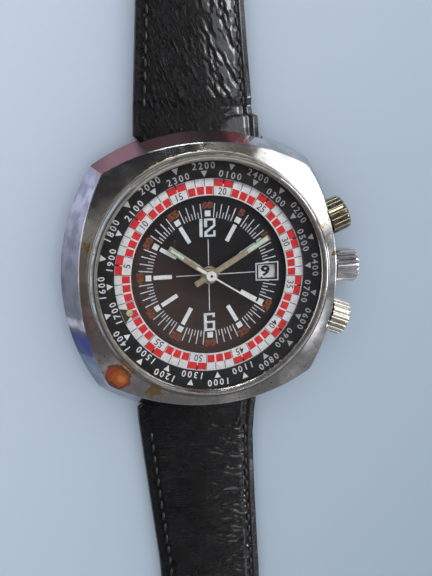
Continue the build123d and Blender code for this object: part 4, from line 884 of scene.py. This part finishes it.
# Movement: nickel-plated plate, bridges and rotor with brass wheels, steel
# pinions and ruby bearings, held by a plastic ring inside the case.
plate_nickel = chrome("plate_nickel", (0.66, 0.65, 0.62), roughness=0.24)
for node in ("main_plate", "train_bridge", "balance_cock", "rotor"):
    dress(node, plate_nickel)
wheel_brass = chrome("wheel_brass", (0.72, 0.55, 0.27), roughness=0.22)
for node in ("center_wheel", "third_wheel", "fourth_wheel", "barrel", "minute_wheel", "hour_wheel",
             "balance_wheel"):
    dress(node, wheel_brass)
for node in ("bridge_screws", "barrel_arbor", "escape_wheel", "pallet_fork", "hairspring",
             "cannon_pinion", "rotor_bearing", "spring_bar_upper", "spring_bar_lower", "buckle_bar"):
    dress(node, turned_steel)
dress("jewels", paint("ruby", (0.50, 0.02, 0.08), (0.34, 0.01, 0.05), 0.12, coat=0.5))
dress("movement_holder", paint("holder_plastic", (0.70, 0.70, 0.66), (0.60, 0.60, 0.57), 0.5))


# Strap: two halves of black calf, folded around the spring bars, with a
# stitched line near each edge. The upper half is creased slantwise, the lower across.
def along(place, stops):
    """Value at a place between (place, value) stops."""
    if place <= stops[0][0]:
        return stops[0][1]
    for (start, low), (end, high) in zip(stops, stops[1:]):
        if place <= end:
            return low + (high - low) * (place - start) / (end - start)
    return stops[-1][1]


def leather(name, turn, squeeze, depth):
    """Black calf: pebbled grain, and fine folds that run one way."""
    material, tree, shader = new_material(name, Specular_IOR_Level=0.2, Coat_Roughness=0.08)
    place = object_place(tree)
    pebble_scale, pebble_height, fold_height_share = 1500.0, 0.14, 1.7
    pebbles = add_node(
        tree, "ShaderNodeTexVoronoi", {"Vector": place, "Scale": pebble_scale}
    ).outputs["Distance"]
    folds = noise(tree, scale=380.0, detail=6.0, squeeze=squeeze, turn=(0, 0, turn))
    near_fold = calculated(tree, "ABSOLUTE", calculated(tree, "SUBTRACT", folds, 0.5))
    fold_height = between(tree, near_fold, 0.0, 0.09)
    patchy = noise(tree, 300.0, 3.0)
    tone = ramp(tree, patchy, [(0.35, (0.002, 0.002, 0.0025)), (0.7, (0.007, 0.0065, 0.007))])
    feed(tree, tone, shader, "Base Color")
    polished_right = towards_share(tree, place, (1, 0, 0), -6 * mm, 6 * mm)
    feed(tree, between(tree, polished_right, 0.0, 1.0, 0.06, 1.0), shader, "Coat Weight")
    rough = between(tree, noise(tree, 350.0, 3.0), 0.3, 0.7, 0.20, 0.36)
    feed(tree, rough, shader, "Roughness")
    relief = calculated(tree, "MULTIPLY_ADD", pebbles, pebble_height, fold_height)
    relief = calculated(tree, "MULTIPLY_ADD", folds, fold_height_share, relief)
    bump(tree, relief, shader, depth, 0.9)
    return material


upper_leather = leather("upper_leather", math.radians(-62), (1.0, 3.2, 1.0), 2.6e-4)
lower_leather = leather("lower_leather", math.radians(3), (0.8, 4.0, 1.0), 4.2e-4)
stitch_inset = 1.4
groove_depth = 0.3
left_groove_share = 0.4
groove_width, worn_groove_width = 0.2, 0.42
edge_drop = 0.4
left_edge_width, right_edge_width = 0.28, 0.42
seam_reach = 1.1


def crease_list(seed, count, ends, slant, spread, near_right):
    """Creases as (x, y, direction, half length, depth, width), the same at each run."""
    pick = random.Random(seed)
    left, middle, right = -7.0, 1.0, 7.6
    half_lengths, depths, widths = (0.5, 2.2), (0.04, 0.13), (0.12, 0.28)
    made = []
    for _ in range(count):
        x = pick.uniform(left, right)
        if pick.random() < near_right:
            x = pick.uniform(middle, right)
        made.append((
            x, pick.uniform(*ends), math.radians(slant + pick.uniform(-spread, spread)),
            pick.uniform(*half_lengths), pick.uniform(*depths), pick.uniform(*widths)))
    return made


def crease_depth(x, y, creases):
    """Depth of the creases at a place, each a furrow with a low ridge beside it."""
    crease_reach = 3.5
    waver, waver_rate = 0.12, 2.5
    ridge_share, ridge_shift = 0.8, 1.7
    depth = 0.0
    for cx, cy, direction, half_length, deep, width in creases:
        dx, dy = x - cx, y - cy
        if abs(dx) > crease_reach or abs(dy) > crease_reach:
            continue
        forward = dx * math.cos(direction) + dy * math.sin(direction)
        aside = -dx * math.sin(direction) + dy * math.cos(direction)
        aside += waver * math.sin(forward * waver_rate)
        fade = math.exp(-((forward / half_length) ** 4))
        furrow = math.exp(-((aside / width) ** 2))
        ridge = math.exp(-(((aside - ridge_shift * width) / width) ** 2))
        depth += deep * fade * (furrow - ridge_share * ridge)
    return depth


def strap_half(name, material, direction, length_end, bottoms, tops, edges, creases, step=0.24):
    """Closed strap: its section is drawn out along the strap, then shaped."""
    edge_columns = [0.955, 0.985, 1.0]
    inner_columns = [n / half_columns for n in range(2 - half_columns, half_columns - 1)]
    across = [-a for a in reversed(edge_columns)] + inner_columns + edge_columns
    start = strap_bar_reach - strap_loop_radius
    steps = round((length_end - start) / step)
    shape = bmesh.new()
    upper = [shape.verts.new((a, start, 1.0)) for a in across]
    lower = [shape.verts.new((a, start, 0.0)) for a in reversed(across)]
    ring = upper + lower
    sides = [shape.edges.new((v, ring[(n + 1) % len(ring)])) for n, v in enumerate(ring)]
    bmesh.ops.contextual_create(shape, geom=sides)
    drawn = bmesh.ops.spin(
        shape, geom=ring + sides, cent=(0, 0, 0), axis=(0, 0, 1),
        dvec=(0, (length_end - start) / steps, 0), angle=0, steps=steps, use_duplicate=False)
    bmesh.ops.contextual_create(shape, geom=[g for g in drawn["geom_last"]
                                             if isinstance(g, bmesh.types.BMEdge)])
    for vert in shape.verts:
        a, y, top = vert.co
        run = (y - start) / (length_end - start)
        y = start + (length_end - start) * run * (0.5 + 0.5 * run)
        left, right = along(y, edges[0]), along(y, edges[1])
        middle, half = (left + right) / 2, (right - left) / 2
        x = middle + a * half
        low, high = along(y, bottoms), along(y, tops)
        inside = half * (1 - abs(a)) / stitch_inset
        if top > 0.5:
            z = high + strap_crown * (crown_level - a * a)
            edge_width = right_edge_width if a > 0 else left_edge_width
            z -= edge_drop * math.exp(-((inside / edge_width) ** 2))
            groove = groove_depth if a > 0 else groove_depth * left_groove_share
            width = worn_groove_width if inside > 1 and a > 0 else groove_width
            z -= groove * math.exp(-(((inside - 1) / width) ** 2))
            if inside > seam_reach:
                z -= crease_depth(x, y * direction, creases)
        else:
            z = low + under_edge * math.exp(-((inside / under_edge) ** 2))
        past_bar = strap_bar_reach - y
        if past_bar > 0:
            round_off = math.sqrt(max(0.0, 1.0 - (past_bar / fold_radius) ** 2))
            z = strap_bar_height + (z - strap_bar_height) * round_off
        vert.co = (x * mm, y * direction * mm, z * mm)
    bmesh.ops.recalc_face_normals(shape, faces=shape.faces)
    body = "strap_upper" if direction > 0 else "strap_lower"
    piece = mesh_piece(name, shape, material, body)
    return piece


strap_bar_reach, strap_bar_height = 17.9, 2.3
strap_loop_radius, fold_radius = 1.35, 1.4
strap_crown, crown_level = 0.65, 0.3
under_edge = 0.25
half_columns = 38
# Edges are (reach, x) and heights (reach, z) along each half, in mm. The creases
# added to each list are folds by the case, straight across above and slanting below.
upper_creases = crease_list(5, 150, (25, 62), -62, 14, 0.65)
upper_creases += [(0.0, 24.2, 0.0, 8.5, 0.10, 0.3), (3.0, 23.2, 0.1, 2.6, 0.06, 0.25)]
lower_creases = crease_list(9, 170, (-62, -24), 3, 12, 0.6)
lower_creases += [(4.5, -25.6, math.radians(59), 2.4, 0.32, 0.14)]
upper_edges = (
    [(19.9, -9.2), (20.7, -10.0), (25.0, -9.85), (33.0, -9.4), (42.0, -8.9), (60.0, -8.3),
     (96.6, -8.0)],
    [(20.0, 9.2), (23.2, 9.1), (23.6, 8.25), (33.0, 7.55), (42.0, 7.0), (60.0, 7.4), (96.6, 8.0)],
)
upper_bottoms = [(16.5, 0.92), (19.3, 1.08), (89.6, 1.08), (96.6, 0.1)]
upper_tops = [(16.5, 3.65), (21.5, 3.35), (24.0, 3.1), (24.7, 3.0), (26.0, 3.45), (31.0, 3.55),
              (89.6, 3.15), (96.6, 2.8)]
lower_edges = (
    [(20.2, -9.2), (21.0, -10.5), (22.6, -10.45), (30.0, -9.6), (47.0, -7.6), (52.0, -7.3),
     (64.0, -7.3), (100.0, -8.0), (127.6, -8.0), (131.0, -7.2), (134.0, -5.3), (136.5, -1.0)],
    [(18.5, 9.2), (20.5, 8.25), (22.0, 8.05), (26.5, 7.75), (37.5, 8.05), (50.0, 8.55),
     (64.0, 8.6), (100.0, 8.0), (127.6, 8.0), (131.0, 7.2), (134.0, 5.3), (136.5, 1.0)],
)
lower_bottoms = [(16.5, 0.92), (19.3, 0.56), (31.0, 0.02), (136.6, 0.02)]
lower_tops = [(16.5, 3.65), (21.5, 3.2), (24.0, 2.95), (31.0, 2.48), (136.6, 2.08)]
upper_end, lower_end = 97.9, 136.55
strap_upper = strap_half("strap_upper_leather", upper_leather, 1, upper_end, upper_bottoms,
                         upper_tops, upper_edges, upper_creases)
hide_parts("strap_buckle_half")
strap_lower = strap_half("strap_lower_leather", lower_leather, -1, lower_end, lower_bottoms,
                         lower_tops, lower_edges, lower_creases)
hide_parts("strap_hole_half")

# Stitching: black waxed thread, one row of short stitches in the groove near
# each edge of both strap halves.
thread = paint("stitch_thread", (0.035, 0.034, 0.033), (0.012, 0.012, 0.012), 0.35)
stitch_pitch = 1.9
first_stitch, last_upper_stitch, last_lower_stitch = 25.6, 88.0, 126.0
thread_rise = 0.12
stitch_half_size = Vector((0.2, 0.72, 0.17)) * mm
for name, direction, end, edges, tops, body in (
    ("strap_upper_stitching", 1, last_upper_stitch, upper_edges, upper_tops, "strap_upper"),
    ("strap_lower_stitching", -1, last_lower_stitch, lower_edges, lower_tops, "strap_lower"),
):
    stitches = bmesh.new()
    for n in range(int((end - first_stitch) / stitch_pitch)):
        y = first_stitch + n * stitch_pitch
        inner_share = 1 - 2 * stitch_inset / (along(y, edges[1]) - along(y, edges[0]))
        for side, edge in ((-1, edges[0]), (1, edges[1])):
            x = along(y, edge) - side * stitch_inset
            groove = groove_depth if side > 0 else groove_depth * left_groove_share
            z = along(y, tops) + strap_crown * (crown_level - inner_share**2) - groove + thread_rise
            place = Matrix.Translation((x * mm, y * direction * mm, z * mm))
            place = place @ Matrix.Diagonal((*stitch_half_size, 1))
            bmesh.ops.create_uvsphere(stitches, u_segments=8, v_segments=6, radius=1.0, matrix=place)
    piece = mesh_piece(name, stitches, thread, body)

# Keepers: two loops of the same calf around the upper half, one fixed at the
# buckle and one that slides.
keeper_corner = 0.95 * mm
keeper_wall = 0.85 * mm
keeper_softening = 0.22 * mm
for node, body in (("keeper_fixed", "strap_upper"), ("keeper_free", "keeper")):
    low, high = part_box(node)
    loop = bmesh.new()
    bmesh.ops.create_cube(loop, size=1.0)
    bmesh.ops.delete(
        loop, geom=[f for f in loop.faces if abs(f.normal.y) > 0.5], context="FACES_ONLY")
    bmesh.ops.scale(loop, verts=loop.verts, vec=high - low)
    bmesh.ops.translate(loop, verts=loop.verts, vec=(low + high) / 2)
    corners = [e for e in loop.edges if abs(e.verts[0].co.y - e.verts[1].co.y) > 1 * mm]
    bmesh.ops.bevel(loop, geom=corners, affect="EDGES", offset=keeper_corner, segments=5,
                    profile=0.5, material=-1)
    bmesh.ops.recalc_face_normals(loop, faces=loop.faces)
    piece = mesh_piece(node + "_leather", loop, lower_leather)
    wall = piece.modifiers.new("wall", "SOLIDIFY")
    wall.thickness = keeper_wall
    wall.offset = -1
    soften = piece.modifiers.new("soften", "BEVEL")
    soften.width = keeper_softening
    soften.segments = 3
    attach(piece, body)
    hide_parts(node)

# Buckle: a frame and a tang of bent and polished steel. Both turn on a steel bar
# in the folded end of the upper half.
buckle_steel = chrome("buckle_steel", steel_colour, roughness=0.12)
for node in ("buckle_frame", "buckle_tang"):
    dress(node, buckle_steel)
